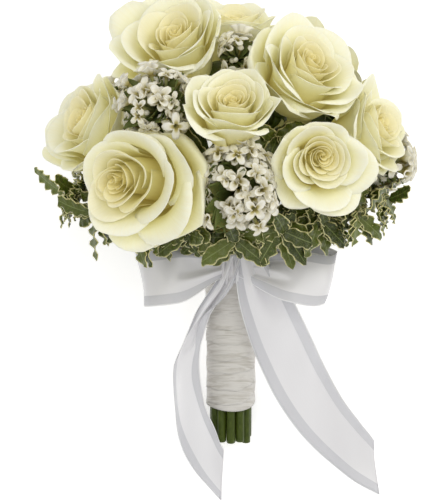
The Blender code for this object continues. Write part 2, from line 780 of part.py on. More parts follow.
def loop_strip(name, points, far_half, collection):
    """A loop of the bow: full width at its far end, gathered at the knot."""
    line = spline(points, 13)
    far = len(line) // 2
    wide = Vector(far_half) * MM
    rows = []
    for i, p in enumerate(line):
        share = 1 - abs(i - far) / far
        half = wide * (0.26 + 0.74 * smooth(share * 1.2))
        pucker = 1.6 * MM * (1 - smooth(share * 1.4)) * (-1 if i <= far else 1)
        rows.append([p - half, p + Vector((0, pucker, 0)), p + half])
    return surface(name, rows, collection)


def tail_strip(name, edges, collection):
    """A tail between its left and right edges."""
    left, right = (spline(edge, 11) for edge in edges)
    return surface(name, [[a, a.lerp(b, 0.5), b] for a, b in zip(left, right)], collection)


def bow(collection):
    """The ribbon tied round the handle: band, knot, two loops and two tails in one piece."""
    inner, outer = BAND_R, BAND_R + BLADE
    low, high = BAND_Z
    band = turned("ribbon_bow", [(outer, high), (outer, low), (inner, low), (inner, high)],
                  collection, 16)
    bm = bmesh.new()
    bmesh.ops.create_cube(bm, size=1)
    for vert in bm.verts:
        vert.co = Vector([c * s for c, s in zip(vert.co, KNOT_SIZE)]) + Vector(KNOT_MIDDLE)
    bmesh.ops.bevel(bm, geom=bm.edges, offset=3.5 * MM, segments=1, affect="EDGES")
    mesh = bpy.data.meshes.new("knot")
    bm.to_mesh(mesh)
    bm.free()
    knot = new_object("knot", mesh, collection)
    left = loop_strip("loop_left", LOOP_LEFT, LOOP_LEFT_HALF, collection)
    right = loop_strip("loop_right", LOOP_RIGHT, LOOP_RIGHT_HALF, collection)
    tail_left = tail_strip("tail_left", TAIL_LEFT, collection)
    tail_right = tail_strip("tail_right", TAIL_RIGHT, collection)
    return fuse("ribbon_bow", [band, knot, left, right, tail_left, tail_right], collection)


def main():
    for old in list(bpy.data.objects):
        bpy.data.objects.remove(old)
    bouquet = bpy.data.collections.new("rose_bouquet")
    bpy.context.scene.collection.children.link(bouquet)
    cream = finish("rose_cream", ROSE_CREAM, 0.55)
    white = finish("floret_white", FLORET_WHITE, 0.55)
    green = finish("stem_green", STEM_GREEN, 0.50)
    leafy = finish("leaf_green", LEAF_GREEN, 0.40)
    satin = finish("satin_white", SATIN_WHITE, 0.30)
    wound = finish("wrap_white", WRAP_WHITE, 0.40)
    bound = finish("tape_green", TAPE_GREEN, 0.70)

    made = []
    heads = make_heads()
    stems = lay_stems(heads)
    for head in heads:
        stem = stems[head.name]
        if head.kind == "rose":
            made.append((rose(head, bouquet), cream))
            made.append((rose_stem(stem, bouquet), green))
        elif head.kind == "spray":
            made.append((spray(head, bouquet), white))
            made.append((spray_stem(stem, bouquet), green))
        else:
            made.append((sprig(head, stem.path(), bouquet), leafy))
    made.append((wrap(bouquet), wound))
    made.append((tape(bouquet), bound))
    made.append((bow(bouquet), satin))

    lying = bpy.data.objects.new("lying", None)
    lying.rotation_euler = (math.radians(LIE_TILT - 90), 0, 0)
    lying.location = WORLD_SHIFT
    bouquet.objects.link(lying)
    for piece, material in made:
        piece.data.materials.clear()
        piece.data.materials.append(material)
        piece.parent = lying


main()
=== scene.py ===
"""The looks of a hand-tied bouquet of cream roses, bouvardia and variegated pittosporum, lying on its back.

Every piece is laid out in the bouquet's own frame, in metres: +X to the right of its face, +Y from its face
to its back, +Z up the stems, with the binding point at zero. One matrix then lays it down, as in the CAD.
"""
import math
import random

import bpy
import numpy as np
from mathutils import Matrix, Vector


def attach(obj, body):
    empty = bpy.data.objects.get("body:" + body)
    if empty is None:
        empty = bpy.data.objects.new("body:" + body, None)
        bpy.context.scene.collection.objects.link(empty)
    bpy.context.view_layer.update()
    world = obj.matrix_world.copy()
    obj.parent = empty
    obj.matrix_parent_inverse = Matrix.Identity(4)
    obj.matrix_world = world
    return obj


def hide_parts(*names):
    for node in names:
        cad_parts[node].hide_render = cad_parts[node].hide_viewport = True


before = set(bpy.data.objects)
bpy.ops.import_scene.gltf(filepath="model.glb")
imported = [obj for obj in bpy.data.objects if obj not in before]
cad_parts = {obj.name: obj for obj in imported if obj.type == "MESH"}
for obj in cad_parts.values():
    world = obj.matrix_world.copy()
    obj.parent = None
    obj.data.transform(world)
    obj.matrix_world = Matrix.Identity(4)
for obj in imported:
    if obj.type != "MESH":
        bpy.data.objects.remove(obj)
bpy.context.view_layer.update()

MM = 0.001

# The lay of the bouquet
LIE_TILT = 21.7          # degrees by which the stems rise towards the head
WORLD_SHIFT = (6.71 * MM, 6.17 * MM, 63.88 * MM)
LAID = Matrix.Translation(WORLD_SHIFT) @ Matrix.Rotation(math.radians(LIE_TILT - 90), 4, "X")
FLOOR_DOWN = np.array((0, math.cos(math.radians(LIE_TILT)), -math.sin(math.radians(LIE_TILT))))
FLOOR_CLEAR = 1.2 * MM
RESTING = ("rose_back_left", "rose_back_right")
RESTING_CLEAR = -8 * MM  # the two blooms that it rests on reach further down and are pressed flat
LOWEST_STEM = "rose_top_back"  # the stem whose cut end it rests on
CELL_GAP = 1.1 * MM      # between a head and the wall of its cell
BLADE = 0.8 * MM         # the thickness of a petal in the solids
PRESSED_BELOW = 1.4 * MM  # what lies lower than this is pressed flat against the surface
NO_WALL = 1e9
LEAST_ROOM = 0.5 * MM

# Stems and handle
STEM_END_Z = -137 * MM
STEM_END_STEP = 1.6 * MM  # the cut ends lie within twice this of each other
ROSE_STEM_R = 3.1 * MM
ROSE_RING_R = 11.6 * MM
SPRAY_STEM_R = 1.5 * MM
SPRAY_RING_R = 4.9 * MM
TWIG_R = 1.15 * MM
TWIG_RING_R = 15.95 * MM
TWIG_END_Z = -13 * MM
TWIG_REACH = 0.92        # how far a twig goes into its head, as a share of the head's height
TWIG_LOW_Z = 6.5 * MM    # where a twig starts to bend out to its head
STEM_LOW_Z = 2 * MM      # where a stem does
TWIG_BOW = (0.15, 0.18)  # how far the bend swings up and outwards, as shares of the way to the head
STEM_BOW = (0.38, 0.06)
NECK_SHARE = 0.30        # the straight neck under a head, as a share of that way
HIP_LENGTH = 7 * MM
HIP_R = 4.6 * MM
HIP_GAP = 0.35 * MM
WRAP_TOP_Z = 4 * MM
WRAP_END_Z = -108 * MM
WRAP_R = 17.2 * MM
WRAP_FLARE_R = 19.0 * MM
WRAP_TURN = 10.5 * MM
RIBBON_WIDTH = 38 * MM

# Heads: the middle of each in millimetres (right, back, up), its diameter, the azimuth and elevation that it
# faces, and its turn, in degrees
ROSES = {
    "rose_centre": (0, -75, 102, 66, 0, 58, 20),
    "rose_front_right": (52, -70, 71, 76, 12, 10, 50),
    "rose_front_left": (-49, -68, 58, 102, -28, 3, 10),
    "rose_top_left": (-37, -14, 133, 102, -24, 58, 35),
    "rose_top_right": (46, -35, 119, 98, 40, 44, 0),
    "rose_left": (-90, -12, 81, 90, -58, 34, 48),
    "rose_right": (84, -24, 84, 78, 66, 24, 25),
    "rose_top_back": (1, 26, 137, 74, 0, 80, 30),
    "rose_back_high": (54, 38, 120, 78, 122, 40, 5),
    "rose_back_left": (-46, 65.92, 90.03, 92, -146, 10, 30),
    "rose_back_right": (40, 66.46, 81.87, 90, 151, 8, 44),
}
SPRAYS = {
    "bouvardia_left": (-46, -54, 104, 54, -40, 28, 0),
    "bouvardia_centre": (4, -70, 55, 68, 3, -4, 30),
    "bouvardia_right": (97, -8, 62, 46, 84, 8, 60),
    "bouvardia_top": (4, -20, 134, 40, 8, 62, 15),
    "bouvardia_back": (-4, 74, 102, 44, -178, 24, 40),
    "bouvardia_back_left": (-80, 38, 82, 52, -116, 12, 10),
    "bouvardia_back_right": (80, 42, 84, 50, 120, 12, 50),
}
SPRIGS = {
    "pittosporum_left_high": (-103, -12, 45, 52, -84, -18, 5),
    "pittosporum_left": (-84, -36, 38, 52, -66, -20, -10),
    "pittosporum_front_left": (-58, -50, 30, 50, -46, -22, 12),
    "pittosporum_front": (-27, -62, 30, 48, -24, -24, -8),
    "pittosporum_front_middle": (2, -68, 27, 46, 2, -22, 10),
    "pittosporum_front_right": (30, -66, 33, 48, 22, -22, -6),
    "pittosporum_right_low": (54, -57, 36, 50, 40, -22, 8),
    "pittosporum_right": (77, -43, 38, 52, 58, -20, -10),
    "pittosporum_right_high": (96, -18, 42, 50, 80, -16, 6),
    "pittosporum_back_right": (72, 30, 46, 48, 118, -18, 10),
    "pittosporum_back_left": (-72, 30, 46, 48, -118, -18, -10),
}
INNER_SPRIGS = {
    "pittosporum_inner_left": (-18, -42, 72, 46, -14, 5, 0),
    "pittosporum_inner_right": (28, -40, 84, 46, 22, 10, 0),
}
HEIGHTS = {"rose": 1.12, "spray": 0.80, "sprig": 0.9, "inner": 0.9}
WEIGHTS = {"rose": 1.0, "spray": 0.80, "sprig": 0.50, "inner": 1.2}
BASE_SHARE = 0.55        # how far below its middle a head's base lies, as a share of its height
GOLDEN_ANGLE = math.radians(137.5)  # from one floret or leaf to the next


def direction(azimuth, elevation):
    """The unit vector of an azimuth and an elevation in degrees, azimuth 0 being the face."""
    a, e = math.radians(azimuth), math.radians(elevation)
    return np.array((math.sin(a) * math.cos(e), -math.cos(a) * math.cos(e), math.sin(e)))


def unit(v):
    """Vectors at length one."""
    return v / np.maximum(np.linalg.norm(v, axis=-1, keepdims=True), 1e-12)


def smooth(x):
    """The smooth step from 0 at 0 to 1 at 1."""
    x = np.clip(x, 0.0, 1.0)
    return x * x * (3 - 2 * x)


def spread_way(polar, turn):
    """The unit vector at an angle from the axis and a turn round it, in radians."""
    return np.array((math.sin(polar) * math.cos(turn), math.sin(polar) * math.sin(turn), math.cos(polar)))


# Heads

class Head:
    """A bloom, spray or sprig: where it stands, what it faces and the cell it fills among its neighbours."""

    def __init__(self, name, kind, row):
        right, back, up, across, face_azimuth, face_elevation, turn = row
        self.name, self.kind = name, kind
        self.middle = np.array((right, back, up)) * MM
        self.azimuth = math.atan2(right, -back)
        self.radius = across * MM / 2
        self.axis = direction(face_azimuth, face_elevation)
        self.height = self.radius * HEIGHTS[kind]
        self.base = self.middle - self.axis * self.height * BASE_SHARE
        side = unit(np.cross((0, 0, 1), self.axis))
        square = np.stack((side, np.cross(self.axis, side), self.axis), axis=1)
        a = math.radians(turn)
        spin = np.array(((math.cos(a), -math.sin(a), 0), (math.sin(a), math.cos(a), 0), (0, 0, 1)))
        self.frame = square @ spin
        self.walls = []

    def wall_towards(self, other):
        """Adds the plane that parts this head's cell from another's."""
        way = other.middle - self.middle
        far = np.linalg.norm(way)
        mine, theirs = (head.radius * WEIGHTS[head.kind] for head in (self, other))
        self.walls.append((way / far, far * mine / (mine + theirs) - CELL_GAP))

    def pressed(self, points, power, closer):
        """Points pressed into the head's cell. A higher power fills its corners, and closer moves its walls
        out."""
        points = np.asarray(points, float)
        along = np.clip((points - self.base) @ self.axis, 0, self.height)
        spine = self.base + along[..., None] * self.axis
        out = points - spine
        room = np.full(along.shape, NO_WALL)
        for normal, far in self.walls:
            reach = out @ normal
            left = np.maximum(far + closer - (spine - self.middle) @ normal, LEAST_ROOM)
            room = np.minimum(room, np.where(reach > 1e-7, left / np.maximum(reach, 1e-7), NO_WALL))
        return spine + out * ((1 + room ** -power) ** (-1 / power))[..., None]


def make_heads():
    """All heads, each with the walls of its cell: its neighbours and the surface below."""
    kinds = (("rose", ROSES), ("spray", SPRAYS), ("sprig", SPRIGS), ("inner", INNER_SPRIGS))
    heads = [Head(name, kind, row) for kind, rows in kinds for name, row in rows.items()]
    for head in heads:
        for other in heads:
            if other is not head:
                head.wall_towards(other)
        clear = RESTING_CLEAR if head.name in RESTING else FLOOR_CLEAR
        above = WORLD_SHIFT[2] - head.middle @ FLOOR_DOWN
        head.walls.append((FLOOR_DOWN, above - clear - BLADE))
    return heads


# Building meshes from grids of points

def grid_quads(rows, columns, closed=False):
    """The corners of a grid's faces. A closed grid joins its last column to its first."""
    index = np.arange(rows * columns).reshape(rows, columns)
    if closed:
        index = np.concatenate((index, index[:, :1]), axis=1)
    corners = (index[:-1, :-1], index[:-1, 1:], index[1:, 1:], index[1:, :-1])
    return np.stack(corners, axis=-1).reshape(-1, 4)


def grid_normals(grid, closed=False):
    """The direction that each point of a grid faces."""
    along = np.gradient(grid, axis=0)
    if closed:
        across = np.roll(grid, -1, axis=1) - np.roll(grid, 1, axis=1)
    else:
        across = np.gradient(grid, axis=1)
    return unit(np.cross(across, along))


class Piece:
    """One object in the making: points, faces and, for each point, the marks that its material reads."""

    def __init__(self, name):
        self.name = name
        self.points, self.faces, self.marks, self.slots = [], [], [], []
        self.count = 0

    def add(self, points, faces, marks, slot=0):
        points = np.asarray(points).reshape(-1, 3)
        self.points.append(points)
        self.marks.append(np.broadcast_to(marks, (*np.shape(marks)[:-1], 3)).reshape(-1, 3))
        self.faces.append(np.asarray(faces) + self.count)
        self.slots.append(np.full(len(faces), slot))
        self.count += len(points)

    def blade(self, grid, thickness, marks, slot=0, closed=False):
        """A thin closed solid round a grid of points."""
        rows, columns = grid.shape[:2]
        half = grid_normals(grid, closed) * (np.asarray(thickness) / 2)[..., None]
        front = grid_quads(rows, columns, closed)
        total = rows * columns
        index = np.arange(total).reshape(rows, columns)
        faces = [front, front[:, ::-1] + total]
        if closed:
            rims = [index[0], index[-1][::-1]]
            ends = [np.roll(rim, -1) for rim in rims]
        else:
            loop = np.concatenate((index[0, :-1], index[:-1, -1], index[-1, :0:-1], index[:0:-1, 0]))
            rims, ends = [loop], [np.roll(loop, -1)]
        for p, q in zip(rims, ends):
            faces.append(np.stack((q, p, p + total, q + total), axis=-1))
        self.add(np.concatenate((grid + half, grid - half)).reshape(-1, 3), np.concatenate(faces),
                 np.concatenate((marks, marks)), slot)

    def tube(self, path, radii, sides, marks, slot=0):
        """A closed tube along a path, its ends capped. marks holds one row for each ring."""
        path = np.asarray(path, float)
        ways = unit(np.gradient(path, axis=0))
        side = unit(np.cross(ways[0], (0.3, 0.5, 0.8)))
        rings = []
        turns = 2 * np.pi * np.arange(sides) / sides
        for p, way, r in zip(path, ways, radii):
            side = unit(side - way * (side @ way))
            up = np.cross(way, side)
            rings.append(p + (np.outer(np.cos(turns), side) + np.outer(np.sin(turns), up)) * r)
        faces = [grid_quads(len(path), sides, True)]
        for first, step in ((0, -1), ((len(path) - 1) * sides, 1)):
            ring = first + np.arange(sides)[::step]
            k = np.arange(sides // 2 - 1)
            faces.append(np.stack((ring[k], ring[k + 1], ring[sides - 2 - k], ring[sides - 1 - k]), axis=-1))
        self.add(np.array(rings), np.concatenate(faces),
                 np.repeat(np.asarray(marks, float), sides, axis=0).reshape(len(path), sides, 3), slot)

    def finish(self, materials, slot_name, *nodes):
        """The piece as an object, laid down, which rides on the bouquet and stands for its CAD nodes."""
        points, faces = np.concatenate(self.points), np.concatenate(self.faces)
        points = points @ np.array(LAID.to_3x3()).T + np.array(LAID.translation)
        low = np.minimum(points[:, 2], PRESSED_BELOW)
        points[:, 2] += PRESSED_BELOW * np.exp((low - PRESSED_BELOW) / PRESSED_BELOW) - low
        mesh = bpy.data.meshes.new(self.name)
        mesh.vertices.add(len(points))
        mesh.vertices.foreach_set("co", points.astype(np.float32).ravel())
        mesh.loops.add(faces.size)
        mesh.loops.foreach_set("vertex_index", faces.astype(np.int32).ravel())
        mesh.polygons.add(len(faces))
        mesh.polygons.foreach_set("loop_start", np.arange(0, faces.size, 4, dtype=np.int32))
        mesh.polygons.foreach_set("material_index", np.concatenate(self.slots).astype(np.int32))
        mesh.update(calc_edges=True)
        mesh.validate()
        mesh.shade_smooth()
        marks = mesh.attributes.new("marks", "FLOAT_VECTOR", "POINT")
        marks.data.foreach_set("vector", np.concatenate(self.marks).astype(np.float32).ravel())
        for material in materials:
            mesh.materials.append(material)
        made = bpy.data.objects.new(self.name, mesh)
        bpy.context.scene.collection.objects.link(made)
        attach(made, "root")
        if nodes:
            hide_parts(*nodes)
        return made


def marks_of(across, along, third):
    """Marks for a grid from values that may be single numbers."""
    shape = np.broadcast(across, along, third).shape
    return np.stack([np.broadcast_to(v, shape) for v in (across, along, third)], axis=-1)


# Roses

# Whorls of petals from the outside in: how many, how open they are, half the turn that each covers in
# degrees, and the radius of their foot as a share of the bloom's
WHORLS = (
    (5, 1.00, 55, 0.130),
    (5, 0.82, 57, 0.125),
    (4, 0.61, 70, 0.115),
    (4, 0.42, 74, 0.100),
    (3, 0.29, 92, 0.085),
    (3, 0.20, 94, 0.070),
    (3, 0.12, 98, 0.055),
    (2, 0.06, 125, 0.040),
    (2, 0.00, 140, 0.025),
)
PETAL_ROWS = 17
PETAL_COLUMNS = 15
PETAL_ALONG = 1 - (1 - np.linspace(0, 1, PETAL_ROWS)) ** 1.6  # the rows, which crowd towards the rim
PETAL_STEPS = 80         # along the curve that a petal's lean is drawn from
PETAL_OVERRUN = 1.10     # how far that curve runs, as a share of the petal's length
PETAL_THICKNESS = (0.50 * MM, 0.18 * MM)  # at the foot and at the rim
# How open a bloom is, how large its petals are, how far its heart stands to the right and up the stems from
# its middle, as shares of its radius, and how much its petals keep the form of a bowl, where these differ
TEMPERS = {
    "rose_centre": (0.88, 1.12, 0.04, 0.0, 1.0),
    "rose_front_right": (0.86, 0.93, 0.04, 0.20, 0.35),
    "rose_front_left": (1.0, 1.0, -0.26, 0.10, 0.05),
    "rose_left": (0.95, 0.97, 0.06, 0.08, 0.7),
    "rose_top_left": (0.96, 0.98, 0.05, 0.0, 0.6),
    "rose_top_right": (0.92, 0.95, 0.0, 0.06, 0.4),
    "rose_right": (0.90, 1.0, 0.05, 0.10, 0.5),
    "rose_top_back": (0.85, 1.10, 0.0, 0.0, 0.7),
}
TEMPER = (1.0, 1.0, 0.06, 0.06, 0.3)
PETAL_POWER = 6          # how sharply petals fill their cell
PETAL_GAP = 1.0 * MM     # how far they reach past its walls


def uneven(points, radius, dice):
    """A bloom's points with its regular form bent by slow waves that all its petals share."""
    moved = np.zeros_like(points)
    for k in range(3):
        for size, waves in ((0.040, 1.7), (0.018, 3.4)):
            way = unit(np.array([dice.gauss(0, 1) for _ in range(3)]))
            phase = points @ way * waves / radius * 1.6 + dice.uniform(0, 6.3)
            moved[..., k] += size * radius * np.sin(phase)
    return points + moved * smooth(np.linalg.norm(points, axis=-1) / radius - 0.1)[..., None]


def petal(radius, openness, half_turn, foot, bowl, traits):
    """A petal's grid of points in its bloom's own frame, centred on azimuth zero. Its lean changes from foot
    to middle to rim, and its rim rolls back on both sides of a pointed tip."""
    lean_more, longer, wave, skew, roll_more, fold = traits
    along = PETAL_ALONG
    across = np.linspace(-1, 1, PETAL_COLUMNS)
    across = across * (0.75 + 0.25 * across ** 2)
    across = across / across[-1]
    beside = np.abs(across)
    length = radius * (1.02 + 0.18 * openness) * (1 + longer)
    tip = (0.04 + 0.13 * openness) * openness * (1 + roll_more)
    rim = 1 + tip * (1 - beside) ** 1.3 - 0.02 * openness - 0.22 * beside ** 3.2
    rim = rim - 0.03 * openness * beside
    rim = rim - 0.035 * (openness < 0.2)
    lean_foot = 18 + (50 + 14 * bowl) * openness
    lean_middle = -13 + 38 * openness ** 1.1 + lean_more * 0.6
    lean_rim = 6 + 58 * openness + 38 * openness ** 3 - bowl * (20 + 34 * openness) * openness + lean_more
    s = (np.arange(PETAL_STEPS) + 0.5)[:, None] / PETAL_STEPS * PETAL_OVERRUN
    lean = lean_foot + (lean_middle - lean_foot) * smooth(s / 0.45)
    lean = lean + (lean_rim - lean_middle) * smooth((s - 0.42) / 0.58)
    beside_tip = smooth((beside - 0.06) * 2.2) * (1 - 0.45 * smooth((beside - 0.72) / 0.28))
    roll = (8 + 84 * openness ** 2) * (0.18 + 0.82 * beside_tip) * (1 + roll_more)
    roll_span = 0.08 + 0.12 * openness ** 2 * beside_tip
    lean = np.radians(lean + roll * smooth((s - rim + roll_span) / roll_span))
    step = length * PETAL_OVERRUN / PETAL_STEPS
    start = np.zeros((1, PETAL_COLUMNS))
    r = radius * foot + np.concatenate((start, np.cumsum(np.sin(lean), 0))) * step
    z = radius * 0.09 + np.concatenate((start, np.cumsum(np.cos(lean), 0))) * step
    run = np.arange(PETAL_STEPS + 1) / PETAL_STEPS * PETAL_OVERRUN
    ends = along[:, None] * (1 + (rim - 1) * smooth(along)[:, None])
    r = np.stack([np.interp(ends[:, c], run, r[:, c]) for c in range(PETAL_COLUMNS)], axis=1)
    z = np.stack([np.interp(ends[:, c], run, z[:, c]) for c in range(PETAL_COLUMNS)], axis=1)
    up = smooth(along * 1.5)[:, None]
    high = along[:, None] ** 4
    r = r + radius * (0.035 + 0.03 * openness) * across * up
    r = r + radius * 0.020 * (0.4 + openness) * np.sin(4.2 * across + wave) * high
    z = z + radius * 0.020 * openness * np.sin(5.4 * across + 2.1 * wave) * high
    # One soft crease down the petal, off its middle
    crease = np.exp(-((across - fold) / 0.20) ** 2)[None, :]
    r = r + radius * 0.022 * openness * crease * smooth(along * 1.2)[:, None]
    wide = 0.60 + 0.40 * smooth(along / 0.5)[:, None]
    turn = np.radians(half_turn) * across * wide + skew * along[:, None] ** 2
    return np.stack((r * np.cos(turn), r * np.sin(turn), z), axis=-1)


def rose(head, materials):
    """A bloom: whorls of petals round a wound bud, pressed in where it meets its neighbours."""
    piece = Piece(head.name + "_bloom")
    shift = random.Random(head.name).uniform(-0.2, 0.2)
    dice = random.Random(head.name + "_petals")
    across = np.linspace(-1, 1, PETAL_COLUMNS)
    foot_t, rim_t = PETAL_THICKNESS
    thickness = np.repeat(foot_t + (rim_t - foot_t) * smooth(PETAL_ALONG)[:, None], PETAL_COLUMNS, axis=1)
    lag = 0.0
    bend = dice.random()
    opened, larger, right, up, bowl = TEMPERS.get(head.name, TEMPER)
    heart = np.array((right, 0, up)) @ head.frame * head.radius
    for count, openness, half_turn, foot in WHORLS:
        openness = openness * opened
        for k in range(count):
            loose = 0.4 + openness
            traits = (dice.uniform(-15, 9) * openness, dice.uniform(-0.07, 0.04) * loose,
                      dice.uniform(0, 6.3), dice.uniform(-0.16, 0.16) * loose, dice.uniform(-0.6, 0.5),
                      dice.uniform(-0.6, 0.6))
            wide = half_turn * dice.uniform(0.92, 1.10)
            grid = petal(head.radius * larger, openness, wide, foot, bowl, traits)
            turn = 2 * math.pi * (k + 0.5) / count + shift + lag
            turn += dice.uniform(-0.15, 0.15) * openness
            c, s = math.cos(turn), math.sin(turn)
            grid = grid @ np.array(((c, s, 0), (-s, c, 0), (0, 0, 1)))
            marks = marks_of(across[None, :], PETAL_ALONG[:, None], openness)
            grid = grid + heart * (1 - openness / opened) ** 0.8 * smooth(grid[..., 2:] / head.radius * 1.3)
            grid = uneven(grid, head.radius, random.Random(head.name + str(bend)))
            grid = head.pressed(head.base + grid @ head.frame.T, PETAL_POWER, PETAL_GAP)
            piece.blade(grid, thickness, marks)
        lag += math.pi / count + 0.35
    return piece.finish(materials, "rose_cream", head.name)


# Bouvardia

FLORET_SPACING = 9.8 * MM
FLORET_ACROSS = 15.5 * MM
HEART_SHARE = 0.36
HEAD_SPREAD = 100        # degrees from the head's axis to its outermost florets
FLORET_SIDES = 24
FLORET_THICKNESS = 0.3 * MM
LUMPS = 8                # the groups that the florets of a head stand in
BUD_EVERY = 5            # one floret in so many is still a bud
BUD_SHARES = np.array((0, 0.5, 0.70, 0.76, 0.84, 0.92, 0.97, 1.0))
BUD_RADII = np.array((0.6, 0.7, 0.9, 1.5, 2.1, 1.7, 0.9, 0.15)) * MM
BUD_SIDES = 10
SMALL_LEAF_THICKNESS = 0.4 * MM
# How far the florets of a head reach, as a share of its radius
SPRAY_REACH = {"bouvardia_top": 0.88}
SPRAY_REACH_OTHERS = 1.20
# How much further florets stand up, where a head lies under a bloom
SPRAY_LIFT = {"bouvardia_centre": 11 * MM}
# The tip of one more floret, which stands out over the petals below: right, back and up in millimetres
FRONT_FLORET = {"bouvardia_left": (-34, -91, 100)}
# How many leaves fill the room among the stems behind a head
BED_LEAVES = {"bouvardia_top": 16, "bouvardia_back": 14, "bouvardia_back_left": 10,
              "bouvardia_back_right": 10}
CLOSE_POWER = 9          # how sharply florets and leaves fill their cell
CLOSE_GAP = 3.6 * MM     # how far they reach in among the petals beside them


def floret(piece, head, foot, tip, turn, across, cup, within=True):
    """A slender tube from foot to tip that opens into four pointed lobes, within the head's cell or not."""
    way = tip - foot
    length = np.linalg.norm(way)
    way = way / length
    side = unit(np.cross(way, (0.31, 0.52, 0.79)))
    up = np.cross(way, side)
    a = 2 * np.pi * np.arange(FLORET_SIDES) / FLORET_SIDES
    lobe = 0.26 + 0.74 * (1 - np.abs(np.sin(2 * a)) ** 2.2) ** 0.6
    rows, marks = [], []
    for height, radius, mark in ((0.0, 0.5, 0.0), (0.90, 1.0, 0.06)):
        rows.append((np.full(FLORET_SIDES, radius * MM), np.full(FLORET_SIDES, length * height)))
        marks.append(mark)
    throat = across * 0.09
    for t in (0.0, 0.30, 0.65, 1.0):
        r = np.maximum(throat + (across / 2 * lobe - throat) * t, throat * (1 + 0.15 * t))
        edge = np.abs(np.sin(2 * a)) ** 2
        h = length + across * (cup * t + 0.06 * edge * t - (0.16 + 0.2 * cup) * t * t)
        rows.append((r, h))
        marks.append(0.14 + 0.86 * t)
    around = np.cos(a + turn)[:, None] * side + np.sin(a + turn)[:, None] * up
    grid = np.array([foot + around * r[:, None] + way * h[:, None] for r, h in rows])
    if within:
        grid = head.pressed(grid, CLOSE_POWER, CLOSE_GAP)
    piece.blade(grid, np.full(grid.shape[:2], FLORET_THICKNESS),
                marks_of(np.array(marks)[:, None], np.cos(2 * a)[None, :], 0.0), closed=True)


def spray(head, materials):
    """A head of bouvardia: half-open florets and buds crowded on stalks that part from the stem's end."""
    piece = Piece(head.name + "_florets")
    dice = random.Random(head.name + "_fine")
    heart_r = head.radius * HEART_SHARE
    reach = head.radius * SPRAY_REACH.get(head.name, SPRAY_REACH_OTHERS)
    spread = math.radians(HEAD_SPREAD)
    count = round(2 * math.pi * (1 - math.cos(spread)) * (reach / FLORET_SPACING) ** 2)
    middle = np.array((0, 0, heart_r * 0.75))
    lumps = []
    for k in range(LUMPS):
        polar = spread * math.sqrt((k + 0.3) / LUMPS) * dice.uniform(0.85, 1.1)
        lumps.append(unit(spread_way(polar, k * GOLDEN_ANGLE + dice.uniform(-0.3, 0.3))))
    for i in range(count):
        polar = math.acos(1 - (1 - math.cos(spread)) * (i + 0.4) / count) + dice.uniform(-0.07, 0.07)
        way = spread_way(polar, i * GOLDEN_ANGLE + dice.uniform(-0.1, 0.1))
        tilt = way + np.array([dice.uniform(-0.30, 0.30) for _ in range(3)])
        start = middle + way * heart_r * 0.2
        foot = head.base + head.frame @ start
        tip = head.base + head.frame @ (start + unit(tilt) * (reach - heart_r * 0.3))
        tip = head.pressed(tip, CLOSE_POWER, CLOSE_GAP)
        near = max(float(way @ lump) for lump in lumps)
        tip = foot + (tip - foot) * (0.62 + 0.38 * smooth((near - 0.80) / 0.17)) * (1 - 0.26 * dice.random())
        rise = SPRAY_LIFT.get(head.name, 0.0) * max(0.0, float((head.frame @ way)[2]))
        tip = tip + np.array((0, 0, rise))
        if i % BUD_EVERY == 2:
            bud(piece, foot, tip, dice)
        else:
            floret(piece, head, foot, tip, dice.uniform(0, 1.5), FLORET_ACROSS * dice.uniform(0.80, 1.20),
                   dice.uniform(0.15, 0.80), rise < 2 * MM)
    if head.name in FRONT_FLORET:
        tip = np.array(FRONT_FLORET[head.name]) * MM
        floret(piece, head, head.base + head.frame @ middle, tip, 0.5, FLORET_ACROSS * 1.15, 0.1, False)
    for i in range(round(count * 0.9)):
        way = spread_way(spread * dice.uniform(0.25, 1.0), i * GOLDEN_ANGLE + 0.7)
        foot = head.base + head.frame @ (middle + way * heart_r * 0.2)
        small_leaf(piece, head, foot, way, reach * dice.uniform(0.60, 0.96))
    for i in range(BED_LEAVES.get(head.name, 0)):
        way = spread_way(math.radians(dice.uniform(98, 145)), i * GOLDEN_ANGLE + 0.4)
        small_leaf(piece, head, head.base, way, dice.uniform(32, 44) * MM, False)
    return piece.finish(materials, "floret_white", head.name)


def bud(piece, foot, tip, dice):
    """A closed floret on its slender tube."""
    path = foot + (tip - foot) * BUD_SHARES[:, None]
    marks = marks_of(0.12 + 0.5 * smooth((BUD_SHARES - 0.6) / 0.3), BUD_SHARES, 0.5)
    piece.tube(path, BUD_RADII * dice.uniform(0.85, 1.1), BUD_SIDES, marks)


def small_leaf(piece, head, foot, way, size, within=True):
    """A plain pointed leaf from foot along a way of the head's own frame, within the head's cell or not."""
    way = head.frame @ way
    side = unit(np.cross(way, head.axis))
    up = np.cross(side, way)
    s = np.linspace(0, 1, 8)
    across = np.linspace(-1, 1, 3)
    half = size * 0.20 * np.sin(np.pi * s ** 0.85) ** 0.8 + 0.2 * MM
    spine = foot + way * (size * s)[:, None] - up * (0.18 * size * s * s)[:, None]
    grid = spine[:, None] + side * (half[:, None] * across)[..., None]
    grid = grid + up * (np.abs(across) * 0.05 * size)[None, :, None]
    if within:
        grid = head.pressed(grid, CLOSE_POWER, CLOSE_GAP)
    marks = marks_of(across[None, :], s[:, None], 0.0)
    piece.blade(grid, np.full(grid.shape[:2], SMALL_LEAF_THICKNESS), marks, 1)


# Pittosporum

SPRIG_LEAVES = 10
# How many leaves fill the room round a twig, how far down it they start, and how steeply they may rise
EXTRA_LEAVES = {"sprig": (26, 0.50, 0.35), "inner": (38, 0.30, 0.9)}
TWIG_RINGS = 28
TWIG_SIDES = 8
TWIG_TIP_RINGS = 6       # over which a twig tapers
LEAF_LENGTH = 31 * MM
LEAF_WIDTH = 10.8 * MM
LEAF_WAVE = 2.0 * MM
LEAF_SHORTEST = 14 * MM
LEAF_LOW = 12 * MM       # about how far above the binding the lowest tips end, just over the bow
LEAF_ROWS = 19
LEAF_COLUMNS = 7
LEAF_THICKNESS = 0.45 * MM


